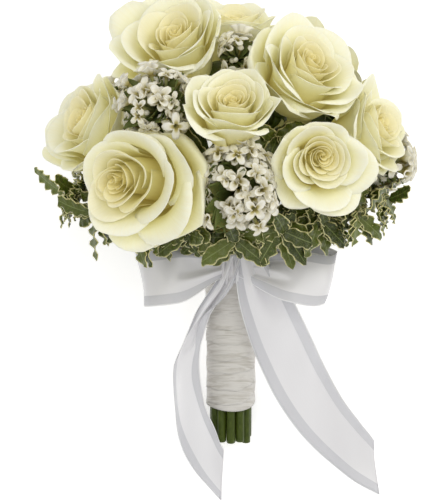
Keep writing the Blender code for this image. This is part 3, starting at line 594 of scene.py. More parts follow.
def leaf(piece, head, foot, way, face, size, dice, droop=0.20):
    """A leaf with a waved cream margin, from foot along way, its upper side towards face."""
    side = unit(np.cross(way, face))
    up = unit(np.cross(side, way))
    low = min(LEAF_LOW - dice.uniform(-2, 14) * MM, foot[2] - 6 * MM)
    while True:
        tip = foot + way * size
        pressed_by = np.linalg.norm(head.pressed(tip, CLOSE_POWER, CLOSE_GAP) - tip)
        if pressed_by < 0.20 * size and tip[2] - up[2] * droop * size > low:
            break
        size -= 1 * MM
        if size < LEAF_SHORTEST:
            return
    s = np.linspace(0, 1, LEAF_ROWS)
    across = np.linspace(-1, 1, LEAF_COLUMNS)
    waves = dice.uniform(3.2, 4.6)
    phase = dice.uniform(0, 6.3)
    outline = np.sin(np.pi * s ** 0.90) ** 0.55 * (1 - 0.06 * s) + 0.02
    half = LEAF_WIDTH / 2 * (0.35 + 0.65 * size / LEAF_LENGTH) * outline * dice.uniform(0.9, 1.12)
    spine = foot + way * (size * s)[:, None] - up * (droop * size * s * s)[:, None]
    spine = spine + side * (dice.uniform(-0.10, 0.10) * size * s * s)[:, None]
    left_right = np.sign(across)[None, :]
    swell = 1 + 0.12 * np.sin(2 * np.pi * waves * s[:, None] + phase + left_right)
    grid = spine[:, None] + side * (half[:, None] * across * swell)[..., None]
    wave = np.sin(2 * np.pi * waves * s[:, None] + phase + 1.9 * left_right) * np.abs(across) ** 1.8
    cup = 0.9 * MM * np.abs(across) * (1 - s[:, None])
    lift = LEAF_WAVE * wave * np.sin(np.pi * s)[:, None] ** 0.5 + cup
    grid = head.pressed(grid + up * lift[..., None], CLOSE_POWER, CLOSE_GAP)
    piece.blade(grid, np.full(grid.shape[:2], LEAF_THICKNESS),
                marks_of(across[None, :], s[:, None], dice.random()))


def sprig(head, path, materials):
    """A leafy twig: its leaves spiral round its outer part and crowd at its tip."""
    piece = Piece(head.name + "_leaves")
    path = fine_path(path, TWIG_RINGS)
    radii = np.full(TWIG_RINGS, TWIG_R)
    radii[-TWIG_TIP_RINGS:] = np.linspace(TWIG_R, TWIG_R * 0.45, TWIG_TIP_RINGS)
    piece.tube(path, radii, TWIG_SIDES, marks_of(np.linspace(0, 1, TWIG_RINGS), 0.0, 0.0), 1)
    same = random.Random(head.name)
    dice = random.Random(head.name + "_fine")
    face = unit(head.axis + np.array((0, 0, 0.25)))
    for i in range(SPRIG_LEAVES):
        share = (i // 2 + 0.5 * (i % 2)) / (SPRIG_LEAVES / 2)
        foot = head.base + head.axis * head.height * 0.85 * share
        fan = math.radians((112 - 78 * share) * (1 if i % 2 else -1) + same.uniform(-9, 9))
        way = unit(head.frame @ np.array((math.sin(fan), -math.cos(fan), 0.15 + 0.65 * share)))
        size = LEAF_LENGTH * same.uniform(0.9, 1.15)
        leaf(piece, head, foot - way * 0.4 * MM, way, face, size, dice)
    # More leaves fill the room round the twig, down towards the binding
    extra, low, lift = EXTRA_LEAVES[head.kind]
    for i in range(extra):
        share = (i + 0.5) / extra
        at = path[int(TWIG_RINGS * (low + (0.99 - low) * share))]
        fan = i * GOLDEN_ANGLE + dice.uniform(-0.3, 0.3)
        out = head.frame @ np.array((math.sin(fan), -math.cos(fan), 0.0))
        way = unit(out + head.axis * dice.uniform(0.1, 1.0) + np.array((0, 0, dice.uniform(-0.45, lift))))
        leaf(piece, head, at, way, unit(face + out * 0.3), LEAF_LENGTH * dice.uniform(0.7, 1.1), dice,
             dice.uniform(0.05, 0.4))
    return piece.finish(materials, "leaf_green", head.name)


# Stems

STEM_POINTS = 6          # along the part of a stem that is kept clear of the others
ROSE_STEM_RINGS = 72
ROSE_STEM_SIDES = 16
SPRAY_STEM_RINGS = 48
SPRAY_STEM_SIDES = 10
JOINT_MIDWAY = 55 * MM   # midway between the first two joints, down from the bloom
JOINT_SPACING = 60 * MM
JOINT_LENGTH = 2.2 * MM
BEVEL = 0.35 * MM        # at the edge of the cut end
SEPALS = 5
SEPAL_LENGTH = 13 * MM
SEPAL_HALF = 2.6 * MM
SEPAL_THICKNESS = 0.4 * MM


def bezier(a, b, c, d, count):
    """Points along a cubic curve from a to d."""
    t = np.linspace(0, 1, count)[:, None]
    u = 1 - t
    return a * u**3 + b * (3 * u * u * t) + c * (3 * u * t * t) + d * t**3


def ring_place(ring_r, azimuth, height):
    """A place in the handle at a ring radius and azimuth."""
    return np.array((math.sin(azimuth) * ring_r, -math.cos(azimuth) * ring_r, height))


class Stem:
    """A stem's centre line above the binding point, kept clear of the others."""

    def __init__(self, head, ring_r, azimuth, radius, end_z, top):
        self.name, self.radius, self.end_z, self.axis = head.name, radius, end_z, head.axis
        twig = ring_r == TWIG_RING_R
        self.low = ring_place(ring_r, azimuth, TWIG_LOW_Z if twig else STEM_LOW_Z)
        rise = np.linalg.norm(top - self.low)
        up, out = TWIG_BOW if twig else STEM_BOW
        bow = np.array((0, 0, rise * up)) + ring_place(1, azimuth, 0) * rise * out
        neck = head.axis * rise * NECK_SHARE
        self.points = [Vector(p) for p in bezier(self.low, self.low + bow, top - neck, top, STEM_POINTS)]

    def path(self):
        """The whole centre line, from the cut end."""
        end = np.array((self.low[0], self.low[1], self.end_z))
        return np.array([end, *self.points])


def nearest(a, b, c, d):
    """The shares along segments a-b and c-d of their nearest points, and the vector between."""
    u, v, w = b - a, d - c, a - c
    uu, uv, vv = u.dot(u), u.dot(v), v.dot(v)
    uw, vw = u.dot(w), v.dot(w)
    low = uu * vv - uv * uv
    s = min(1.0, max(0.0, (uv * vw - vv * uw) / low)) if low > 1e-12 else 0.5
    t = min(1.0, max(0.0, (uv * s + vw) / vv))
    s = min(1.0, max(0.0, (uv * t - uw) / uu))
    return s, t, (c + v * t) - (a + u * s)


def keep_clear(stems, gap=0.9 * MM, rounds=150):
    """Moves the inner points of stems apart until each pair is clear by gap."""
    for _ in range(rounds):
        moved = 0.0
        for i, one in enumerate(stems):
            for other in stems[i + 1:]:
                need = one.radius + other.radius + gap
                for m in range(len(one.points) - 1):
                    for n in range(len(other.points) - 1):
                        s, t, way = nearest(one.points[m], one.points[m + 1],
                                            other.points[n], other.points[n + 1])
                        short = need - way.length
                        if short <= 0:
                            continue
                        push = way.normalized() * (short * 0.5)
                        for line, k, share, sign in ((one, m, s, -1), (other, n, t, 1)):
                            for index, weight in ((k, 1 - share), (k + 1, share)):
                                if 0 < index < len(line.points) - 1:
                                    line.points[index] += push * (sign * weight)
                        moved = max(moved, short)
        if moved < 0.02 * MM:
            break


def lay_stems(heads):
    """The stems of all heads. Those of a kind share a ring, in the order that the heads stand in."""
    roses = sorted((h for h in heads if h.kind == "rose"), key=lambda h: h.azimuth % (2 * math.pi))
    fillers = [h for h in heads if h.kind in ("spray", "inner")]
    stems = {}
    for i, head in enumerate(roses):
        azimuth = 2 * math.pi * i / len(roses)
        top = head.base - head.axis * HIP_GAP
        end_z = STEM_END_Z + STEM_END_STEP * (1 + math.sin(2.1 * i + 0.4)) * (head.name != LOWEST_STEM)
        stems[head.name] = Stem(head, ROSE_RING_R, azimuth, ROSE_STEM_R, end_z, top)
    around = sorted((h for h in fillers if h.name != "bouvardia_top"),
                    key=lambda h: h.azimuth % (2 * math.pi))
    for head in fillers:
        ring_r, azimuth = 0, 0
        if head in around:
            ring_r, azimuth = SPRAY_RING_R, 2 * math.pi * (around.index(head) + 0.5) / len(around)
        top = head.base - head.axis * HIP_GAP
        radius = SPRAY_STEM_R
        if head.kind == "inner":
            top, radius = head.base + head.axis * head.height * TWIG_REACH, TWIG_R
        stems[head.name] = Stem(head, ring_r, azimuth, radius, STEM_END_Z, top)
    for head in heads:
        if head.kind == "sprig":
            top = head.base + head.axis * head.height * TWIG_REACH
            stems[head.name] = Stem(head, TWIG_RING_R, head.azimuth, TWIG_R, TWIG_END_Z, top)
    keep_clear(list(stems.values()))
    return stems


def evenly(points, count):
    """Points evenly along a line of straight runs, and the line's length."""
    run = np.concatenate(([0], np.cumsum(np.linalg.norm(np.diff(points, axis=0), axis=1))))
    even = np.linspace(0, run[-1], count)
    return np.stack([np.interp(even, run, points[:, k]) for k in range(3)], axis=-1), run[-1]


def fine_path(points, count):
    """Points evenly along straight runs with their corners rounded."""
    line = evenly(np.asarray(points, float), count)[0]
    for _ in range(2):
        line[1:-1] = line[1:-1] * 0.5 + (line[:-2] + line[2:]) * 0.25
    return line


def stem_marks(count):
    """A stem's marks: its cut end, then how far up each ring is."""
    marks = marks_of(0.0, np.linspace(0, 1, count), 0.0)
    marks[0, 0] = 1
    return marks


def rose_stem(stem, materials):
    """A rose's stem with its joints, its cut end and the hip and sepals under the bloom."""
    piece = Piece(stem.name + "_stalk")
    path = stem.path()
    hip = path[-1] - stem.axis * HIP_LENGTH
    path = fine_path([*path[:-1], hip, path[-1]], ROSE_STEM_RINGS)
    run = np.linalg.norm(path - path[-1], axis=1)
    above = path[:, 2] > WRAP_TOP_Z
    from_joint = (run - JOINT_MIDWAY) % JOINT_SPACING - JOINT_SPACING / 2
    joint = np.exp(-(from_joint / JOINT_LENGTH) ** 2) * above
    radii = ROSE_STEM_R * (0.985 + 0.10 * joint)
    swell = smooth(1 - run / HIP_LENGTH)
    radii = radii * (1 - swell) + HIP_R * swell
    shoulder = path[0] + unit(path[1] - path[0]) * BEVEL
    path = np.concatenate((path[:1], [shoulder], path[1:]))
    radii = np.concatenate(([radii[0] * 0.90], radii))
    piece.tube(path, radii, ROSE_STEM_SIDES, stem_marks(len(path)))
    side = unit(np.cross(stem.axis, (0.3, 0.5, 0.8)))
    up = np.cross(stem.axis, side)
    for k in range(SEPALS):
        a = 2 * math.pi * k / SEPALS + 0.3
        out = side * math.cos(a) + up * math.sin(a)
        sepal(piece, path[-1] - stem.axis * 1.5 * MM + out * (HIP_R - 0.4 * MM), out, stem.axis)
    return piece.finish(materials, "stem_green", stem.name + "_stem")


def sepal(piece, foot, out, axis):
    """A sepal that has bent back against the stem as the bloom opened."""
    s = np.linspace(0, 1, 8)
    across = np.linspace(-1, 1, 5)
    side = np.cross(axis, out)
    bend = s * 2.0
    spine = foot + out * (5 * MM * np.sin(bend))[:, None]
    spine = spine - axis * (SEPAL_LENGTH * s * smooth(s + 0.2))[:, None]
    half = SEPAL_HALF * (1 - s) ** 0.8 + 0.15 * MM
    grid = spine[:, None] + side * (half[:, None] * across)[..., None]
    grid = grid - out * (np.abs(across) * 0.5 * MM)[None, :, None]
    marks = marks_of(0.0, s[:, None], np.zeros((1, len(across))))
    piece.blade(grid, np.full(grid.shape[:2], SEPAL_THICKNESS), marks)


def spray_stem(stem, materials):
    """The plain stem of a head of bouvardia."""
    piece = Piece(stem.name + "_stalk")
    path = fine_path(stem.path(), SPRAY_STEM_RINGS)
    radii = np.full(SPRAY_STEM_RINGS, SPRAY_STEM_R * 0.98)
    piece.tube(path, radii, SPRAY_STEM_SIDES, stem_marks(SPRAY_STEM_RINGS))
    return piece.finish(materials, "stem_green", stem.name + "_stem")


# Ribbon round the handle

WRAP_STEPS = 48          # to a turn
WRAP_COLUMNS = 15
WRAP_TURNS = (0.35, 11.6)  # where the ribbon starts and ends, in turns from the top
WRAP_LAYER = 0.34 * MM   # how much deeper a turn lies where the next one up covers it
RIBBON_THICKNESS = 0.18 * MM
# Folds across the wound ribbon: their height in millimetres, how often they cross it in a turn, how many
# millimetres up it move the wave on by one radian, and its start
WRAP_FOLDS = ((0.20, 2, 2.6, 0), (0.15, -3, 1.7, 1), (0.12, 5, 3.7, 2))


def wrap_outer(z):
    """The radius of the wound handle at a height."""
    return WRAP_R + (WRAP_FLARE_R - WRAP_R) * smooth((z + 40 * MM) / (30 * MM))


def handle_wrap(materials):
    """The ribbon wound up the stems in lapping turns. The lower edge of each turn lies outside the one
    below, and its lowest edge is ragged. Low slanting folds run across it where it was pulled tight."""
    piece = Piece("handle_ribbon")
    count = int((WRAP_TURNS[1] - WRAP_TURNS[0]) * WRAP_STEPS)
    t = np.linspace(*WRAP_TURNS, count)[:, None]
    across = np.linspace(0, 1, WRAP_COLUMNS)[None, :] ** 1.25
    a = -2 * np.pi * t
    edge = np.maximum(WRAP_TOP_Z - WRAP_TURN * t, WRAP_END_Z) + 0 * across
    wobble = 0.9 * MM * np.sin(3.1 * t) + 0.7 * MM * np.sin(1.7 * a + 2) + 0.4 * MM * np.sin(7.3 * a)
    edge = edge + wobble * (edge > WRAP_END_Z + 4 * MM)
    high = np.minimum(edge + RIBBON_WIDTH, WRAP_TOP_Z)
    z = edge + (high - edge) * across
    share = (WRAP_TOP_Z - z) / (WRAP_TOP_Z - WRAP_END_Z)
    ragged = 2.6 * MM * np.sin(a + 0.6) + 1.2 * MM * np.sin(2 * a)
    place = z + ragged * share ** 2
    folds = sum(size * np.sin(turns * a + z / (rise * MM) + start)
                for size, turns, rise, start in WRAP_FOLDS) * MM
    layer = WRAP_LAYER * (z - edge) / WRAP_TURN
    r = wrap_outer(z) - 0.25 * MM - layer + folds * 0.9
    r = r + 0.20 * MM * np.exp(-((z - edge) / (1.6 * MM)) ** 2) * (0.5 + 0.5 * np.sin(2.3 * a + 1))
    grid = np.stack((r * np.cos(a), r * np.sin(a), place), axis=-1)
    marks = marks_of(across * 2 - 1, t * 2 * np.pi * WRAP_R, layer / WRAP_LAYER)
    piece.blade(grid, np.full(grid.shape[:2], RIBBON_THICKNESS), marks)
    made = piece.finish(materials, "wrap_white", "handle_wrap")
    return made


# Bow

# The ribbon's centre line in a loop, out from the knot and back, and half its width at the far end, in
# millimetres: right, back and up of the binding
LOOP_LEFT = ((-2, -27, -4), (-20, -32, -6), (-40, -35, -9), (-55, -34, -11), (-60, -28, -12),
             (-56, -21, -10), (-40, -17, -6), (-21, -20, -3), (-3, -24, -2))
LOOP_RIGHT = ((2, -27, -4), (22, -32, -6), (44, -36, -9), (60, -34, -12), (67, -29, -12),
              (62, -23, -11), (44, -16, -6), (23, -19, -3), (3, -24, -2))
LOOP_LEFT_HALF = (-2.5, 6, 17.5)
LOOP_RIGHT_HALF = (5, 9, 15)

# The edges of the tails, left and right, from the knot to the cut
TAIL_LEFT = (
    ((-3, -34, 6), (-10, -30, -15), (-20, -20, -34), (-30, -5, -56), (-36, 6, -77), (-39, 13, -96),
     (-40, 16, -117), (-37, 11, -140), (-27, 3, -161), (-7, -5.4, -182)),
    ((9, -34, 6), (1, -31, -16), (-9, -24, -32), (-18, -18, -50), (-22, -18, -68), (-23, -18, -86),
     (-20, -19, -103), (-15, -20, -117), (-10, -20, -129), (-5, -18, -138)),
)
TAIL_RIGHT = (
    ((2, -36, 6), (5, -32, -26), (12, -24, -55), (20, -17, -78), (32, -9, -105), (47, -1, -129),
     (66, 4, -152), (85, -0.4, -167), (105, -4, -177)),
    ((20, -34, 6), (36, -28, -18), (46, -22, -38), (55, -14, -58), (65, -7, -81), (77, 0, -105),
     (88, 4, -122), (95, 5, -132), (100, 6, -140)),
)
# The ribbon's way over the knot
KNOT_OVER = ((0, -21, 8), (0, -25, 9.5), (0, -29, 7.5), (0, -31.5, 2), (0, -32, -4), (0, -31.5, -10),
             (0, -29, -15), (0, -25, -17.5), (0, -21, -16))
BAND_Z = (-15 * MM, 4 * MM)
BAND_R = WRAP_FLARE_R + 1.7 * MM
KNOT_HALF = 9.5 * MM
BOW_THICKNESS = RIBBON_THICKNESS * 1.4  # thicker than the wrap's, because it is seen edge on
SPLINE_STEPS = 16        # between two given points
# Rows and columns
LOOP_GRID = (73, 37)
TAIL_GRID = (81, 17)
KNOT_GRID = (49, 49)
BAND_GRID = (97, 41)
# The ripples of a tail: their height in millimetres, and the radians that they run through down its length
# and from its middle to its edge
TAIL_WAVES = ((2.0, 7, 1.2), (1.2, 13, -1.8), (0.6, 23, 2.6))


def spline(points, count):
    """Points evenly along the smooth curve through the given ones, and its length."""
    knots = [np.array(p, float) * MM for p in points]
    ends = [knots[0] * 2 - knots[1], *knots, knots[-1] * 2 - knots[-2]]
    fine = []
    for a, b, c, d in zip(ends, ends[1:], ends[2:], ends[3:]):
        for k in range(SPLINE_STEPS):
            t = k / SPLINE_STEPS
            fine.append(0.5 * (b * 2 + (c - a) * t + (a * 2 - b * 5 + c * 4 - d) * t * t
                               + (b * 3 - a - c * 3 + d) * t**3))
    return evenly(np.array([*fine, knots[-1]]), count)


def ribbon_places(rows, columns, first=-1):
    """The places in a ribbon's grid: along it from first to one, and across it from minus one to one."""
    return np.linspace(first, 1, rows)[:, None], np.linspace(-1, 1, columns)[None, :]


def bow_loop(name, points, far_half, turns, materials, node=()):
    """A loop of the bow: full width at its far end, gathered into pleats at the knot."""
    piece = Piece(name)
    out_and_back, across = ribbon_places(*LOOP_GRID)
    line, length = spline(points, LOOP_GRID[0])
    share = 1 - np.abs(out_and_back)
    wide = np.array(far_half) * MM
    gather = 0.36 + 0.64 * smooth(share * 1.7)
    ways = unit(np.gradient(line, axis=0))
    normal = unit(np.cross(ways, unit(wide)))[:, None]
    depth = RIBBON_WIDTH / (4 * turns) * np.sqrt(1 - np.clip(gather, 0, 1) ** 2)
    depth = depth * (0.45 + 0.55 * smooth(share * 5)) * 0.60
    pleat = np.sin(np.pi * turns * across + 0.6) + 0.25 * np.sin(np.pi * (turns + 2) * across + 2)
    soft = 0.8 * MM * np.sin(2.2 * across + 9 * share) * smooth(share * 2)
    sway = 0.9 * MM * np.sin(12 * share + 1.2) * across ** 2
    crown = -1.1 * MM * across ** 2 * smooth(share * 1.6)
    grid = line[:, None] + wide * (gather * across)[..., None]
    grid = grid + normal * (depth * pleat + soft + crown + sway)[..., None]
    marks = marks_of(across, np.linspace(0, length, LOOP_GRID[0])[:, None], 1 - gather)
    piece.blade(grid, np.full(LOOP_GRID, BOW_THICKNESS), marks)
    made = piece.finish(materials, "satin_white", *node)
    return made


def bow_tail(name, edges, seed, materials):
    """A tail that falls from the knot in slow ripples to a slanted cut."""
    piece = Piece(name)
    (left, one), (right, other) = (spline(edge, TAIL_GRID[0]) for edge in edges)
    dice = random.Random(seed)
    share, across = ribbon_places(*TAIL_GRID, first=0)
    grid = left[:, None] + (right - left)[:, None] * ((across + 1) / 2)[..., None]
    normal = grid_normals(grid)
    wave = np.zeros(TAIL_GRID)
    for size, along, sideways in TAIL_WAVES:
        wave += size * MM * np.sin(along * share + sideways * across + dice.uniform(0, 6.3))
    drawn_in = np.clip(np.linalg.norm(right - left, axis=1)[:, None] / RIBBON_WIDTH, 0, 1)
    near = np.sqrt(1 - drawn_in ** 2) * (1 - smooth((share - 0.55) / 0.25))
    pleat = RIBBON_WIDTH / 8 * near * np.sin(2 * np.pi * across + 0.5) * (0.4 + 0.6 * smooth(share * 7))
    curl = 1.3 * MM * across ** 2 * np.sin(5 * share + dice.uniform(0, 6.3))
    wave = wave * smooth(share * 4) * (1 - 0.6 * smooth((share - 0.85) / 0.15))
    grid = grid + normal * (wave + pleat + curl * (1 - near))[..., None]
    length = (one + other) / 2
    piece.blade(grid, np.full(TAIL_GRID, BOW_THICKNESS), marks_of(across, share * length, near))
    made = piece.finish(materials, "satin_white")
    return made


def bow_knot(materials):
    """The knot: the ribbon drawn over the loops, its width gathered into pleats."""
    piece = Piece("bow_knot")
    line, length = spline(KNOT_OVER, KNOT_GRID[0])
    share, across = ribbon_places(*KNOT_GRID)
    waist = 1 - 0.22 * (1 - share ** 2)
    ways = unit(np.gradient(line, axis=0))
    side = np.array((1.0, 0, 0))
    normal = unit(np.cross(ways, side))[:, None]
    pleat = np.sin(4.5 * np.pi * across + 1.4 * share) * (1 - 0.3 * across ** 2)
    round_off = -3.2 * MM * across ** 4
    grid = line[:, None] + side * (KNOT_HALF * waist * across)[..., None]
    grid = grid + side * (0.8 * MM * np.sin(2.4 * share + 1) * across ** 2)[..., None]
    grid = grid + normal * (1.35 * MM * pleat + round_off)[..., None]
    piece.blade(grid, np.full(KNOT_GRID, BOW_THICKNESS), marks_of(across * 0.6, share * length, 1.0))
    made = piece.finish(materials, "satin_white")
    return made


def bow_band(materials):
    """The ribbon's turn round the top of the handle, drawn together into pleats."""
    piece = Piece("bow_band")
    a = -math.pi / 2 + np.linspace(0.02, 2 * math.pi + 0.30, BAND_GRID[0])[:, None]
    across = ribbon_places(*BAND_GRID)[1]
    low, high = BAND_Z
    z = (low + high) / 2 + (high - low) / 2 * across + 0.8 * MM * np.sin(3 * a + across)
    pleat = np.sin(4.5 * np.pi * across + 1.2 * np.sin(2 * a))
    lap = 0.35 * MM * smooth((a + math.pi / 2 - 6.0) / 0.3)
    r = BAND_R + 1.5 * MM * pleat + lap
    grid = np.stack((r * np.cos(a), r * np.sin(a), z), axis=-1)
    piece.blade(grid, np.full(BAND_GRID, BOW_THICKNESS), marks_of(across * 0.66, a * BAND_R, 1.0))
    made = piece.finish(materials, "satin_white")
    return made


# Materials

def linear(code):
    """A colour written as an sRGB hex value, as the linear numbers that shaders take."""
    channels = [int(code[i:i + 2], 16) / 255 for i in (1, 3, 5)]
    return (*[c / 12.92 if c <= 0.04045 else ((c + 0.055) / 1.055) ** 2.4 for c in channels], 1.0)


def feed(node, sockets):
    """Gives each socket of a node its value, or the output that feeds it."""
    for name, value in sockets.items():
        if isinstance(value, bpy.types.NodeSocket):
            node.id_data.links.new(value, node.inputs[name])
        else:
            node.inputs[name].default_value = value


def add(tree, kind, sockets=None, stops=(), **settings):
    """Adds a node. Settings are its own, and stops are a ramp's places and colours."""
    made = tree.nodes.new(kind)
    for name, value in settings.items():
        setattr(made, name, value)
    for k, (place, code) in enumerate(stops):
        stop = made.color_ramp.elements[k] if k < 2 else made.color_ramp.elements.new(place)
        stop.position = place
        stop.color = linear(code)
    feed(made, sockets or {})
    return made


def new_material(name):
    """A material, its nodes and its Principled shader."""
    made = bpy.data.materials.new(name)
    made.use_nodes = True
    return made, made.node_tree, made.node_tree.nodes["Principled BSDF"]


# Petals of garden roses: grown as thin waxy tissue with fine veins, which gives a soft matt skin. Light
# comes through it, so its folds are never dark, and its rim is palest

def rose_petal():
    made, tree, surface = new_material("rose_petal")
    marks = add(tree, "ShaderNodeAttribute", attribute_name="marks").outputs["Vector"]
    place = add(tree, "ShaderNodeSeparateXYZ", {"Vector": marks}).outputs
    along, openness = place["Y"], place["Z"]
    # Colour runs from the yellow foot to the pale rim. The deep yellow at the foot is partly the petal's own
    # colour and partly painted shade, laid where the feet lie deep in the bloom
    foot = add(tree, "ShaderNodeMapRange", {"Value": along, "From Min": 0.15, "From Max": 0.82},
               interpolation_type="SMOOTHSTEP")
    body = add(tree, "ShaderNodeMix", {0: foot.outputs[0], 6: linear("#EADB78"), 7: linear("#F8F5C8")},
               data_type="RGBA")
    rim = add(tree, "ShaderNodeMapRange", {"Value": along, "From Min": 0.68, "From Max": 1.0})
    body = add(tree, "ShaderNodeMix", {0: rim.outputs[0], 6: body.outputs[2], 7: linear("#FDFDEB")},
               data_type="RGBA")
    # The heart is warmer
    heart = add(tree, "ShaderNodeMapRange", {"Value": openness, "From Min": 0.60, "From Max": 0.05,
                                             "To Max": 0.70})
    body = add(tree, "ShaderNodeMix", {0: heart.outputs[0], 6: body.outputs[2], 7: linear("#F6E796")},
               data_type="RGBA")
    # The guard petals keep some green low down
    guard = add(tree, "ShaderNodeMapRange", {"Value": openness, "From Min": 0.80, "From Max": 1.0})
    low = add(tree, "ShaderNodeMapRange", {"Value": along, "From Min": 0.62, "From Max": 0.15,
                                           "To Max": 0.75})
    green = add(tree, "ShaderNodeMath", {0: guard.outputs[0], 1: low.outputs[0]}, operation="MULTIPLY")
    body = add(tree, "ShaderNodeMix", {0: green.outputs[0], 6: body.outputs[2], 7: linear("#DADC94")},
               data_type="RGBA")
    # Veins run from foot to rim, about 1.2 mm apart
    stretch = add(tree, "ShaderNodeMapping", {"Vector": marks, "Scale": (16.0, 1.6, 7.0)})
    veins = add(tree, "ShaderNodeTexNoise", {"Vector": stretch.outputs[0], "Scale": 1.6, "Detail": 3.0,
                                             "Roughness": 0.6})
    tint = add(tree, "ShaderNodeMapRange", {"Value": veins.outputs[0], "From Min": 0.40, "From Max": 0.72,
                                            "To Max": 0.14})
    body = add(tree, "ShaderNodeMix", {0: tint.outputs[0], 6: body.outputs[2], 7: linear("#EFE096")},
               data_type="RGBA")
    relief = add(tree, "ShaderNodeBump", {"Height": veins.outputs[0], "Strength": 0.30,
                                          "Distance": 0.35 * MM})
    # The faint emission stands for the light that comes through the petals
    feed(surface, {
        "Base Color": body.outputs[2], "Normal": relief.outputs[0], "Roughness": 0.52, "IOR": 1.40,
        "Specular IOR Level": 0.42, "Sheen Weight": 0.05, "Sheen Roughness": 0.4, "Subsurface Weight": 0.12,
        "Subsurface Scale": 0.002, "Subsurface Radius": (1.0, 0.97, 0.85),
        "Emission Color": linear("#F7EC9A"), "Emission Strength": 0.040})
    return made


# Bouvardia florets: grown as matt waxy lobes, which gives a soft white. The olive brown at the throat is
# painted shade, where the lobes close into the tube. They stand on pale tubes, greenish at the foot

def bouvardia_floret():
    made, tree, surface = new_material("bouvardia_floret")
    marks = add(tree, "ShaderNodeAttribute", attribute_name="marks").outputs["Vector"]
    place = add(tree, "ShaderNodeSeparateXYZ", {"Vector": marks}).outputs["X"]
    # The green foot of the tube is its own colour; the olive brown at the throat, paling over the inner
    # lobes, is painted shade
    ramp = add(tree, "ShaderNodeValToRGB", {"Fac": place}, stops=(
        (0.0, "#76813A"), (0.05, "#B3B478"), (0.14, "#8C7D3E"), (0.30, "#C4B878"), (0.50, "#F4EFDA"),
        (0.92, "#FBF9EE"), (1.0, "#E6DDBA")))
    # Fine specks, about 0.15 mm across
    worn = add(tree, "ShaderNodeTexNoise", {"Scale": 400.0, "Detail": 2.0})
    fade = add(tree, "ShaderNodeMapRange", {"Value": worn.outputs[0], "From Min": 0.50, "From Max": 0.80,
                                            "To Max": 0.22})
    body = add(tree, "ShaderNodeMix", {0: fade.outputs[0], 6: ramp.outputs[0], 7: linear("#DED6B0")},
               data_type="RGBA")
    relief = add(tree, "ShaderNodeBump", {"Height": worn.outputs[0], "Strength": 0.2, "Distance": 0.2 * MM})
    feed(surface, {
        "Base Color": body.outputs[2], "Normal": relief.outputs[0], "Roughness": 0.55, "IOR": 1.40,
        "Specular IOR Level": 0.30, "Subsurface Weight": 0.22, "Subsurface Scale": 0.003,
        "Subsurface Radius": (1.0, 0.95, 0.8)})
    return made


# The small leaves among the florets: grown thin and smooth, a satin olive green

def floret_leaf():
    made, tree, surface = new_material("floret_leaf")
    # Patches about 0.7 mm across
    patches = add(tree, "ShaderNodeTexNoise", {"Scale": 90.0, "Detail": 3.0})
    body = add(tree, "ShaderNodeMix", {0: patches.outputs[0], 6: linear("#46511F"), 7: linear("#7A8546")},
               data_type="RGBA")
    feed(surface, {
        "Base Color": body.outputs[2], "Roughness": 0.5, "IOR": 1.42, "Specular IOR Level": 0.4,
        "Subsurface Weight": 0.10, "Subsurface Scale": 0.002})
    return made


# Variegated pittosporum leaf: grown leathery with a waxy skin, which gives a broken gloss on grey green
# patches and a cream margin

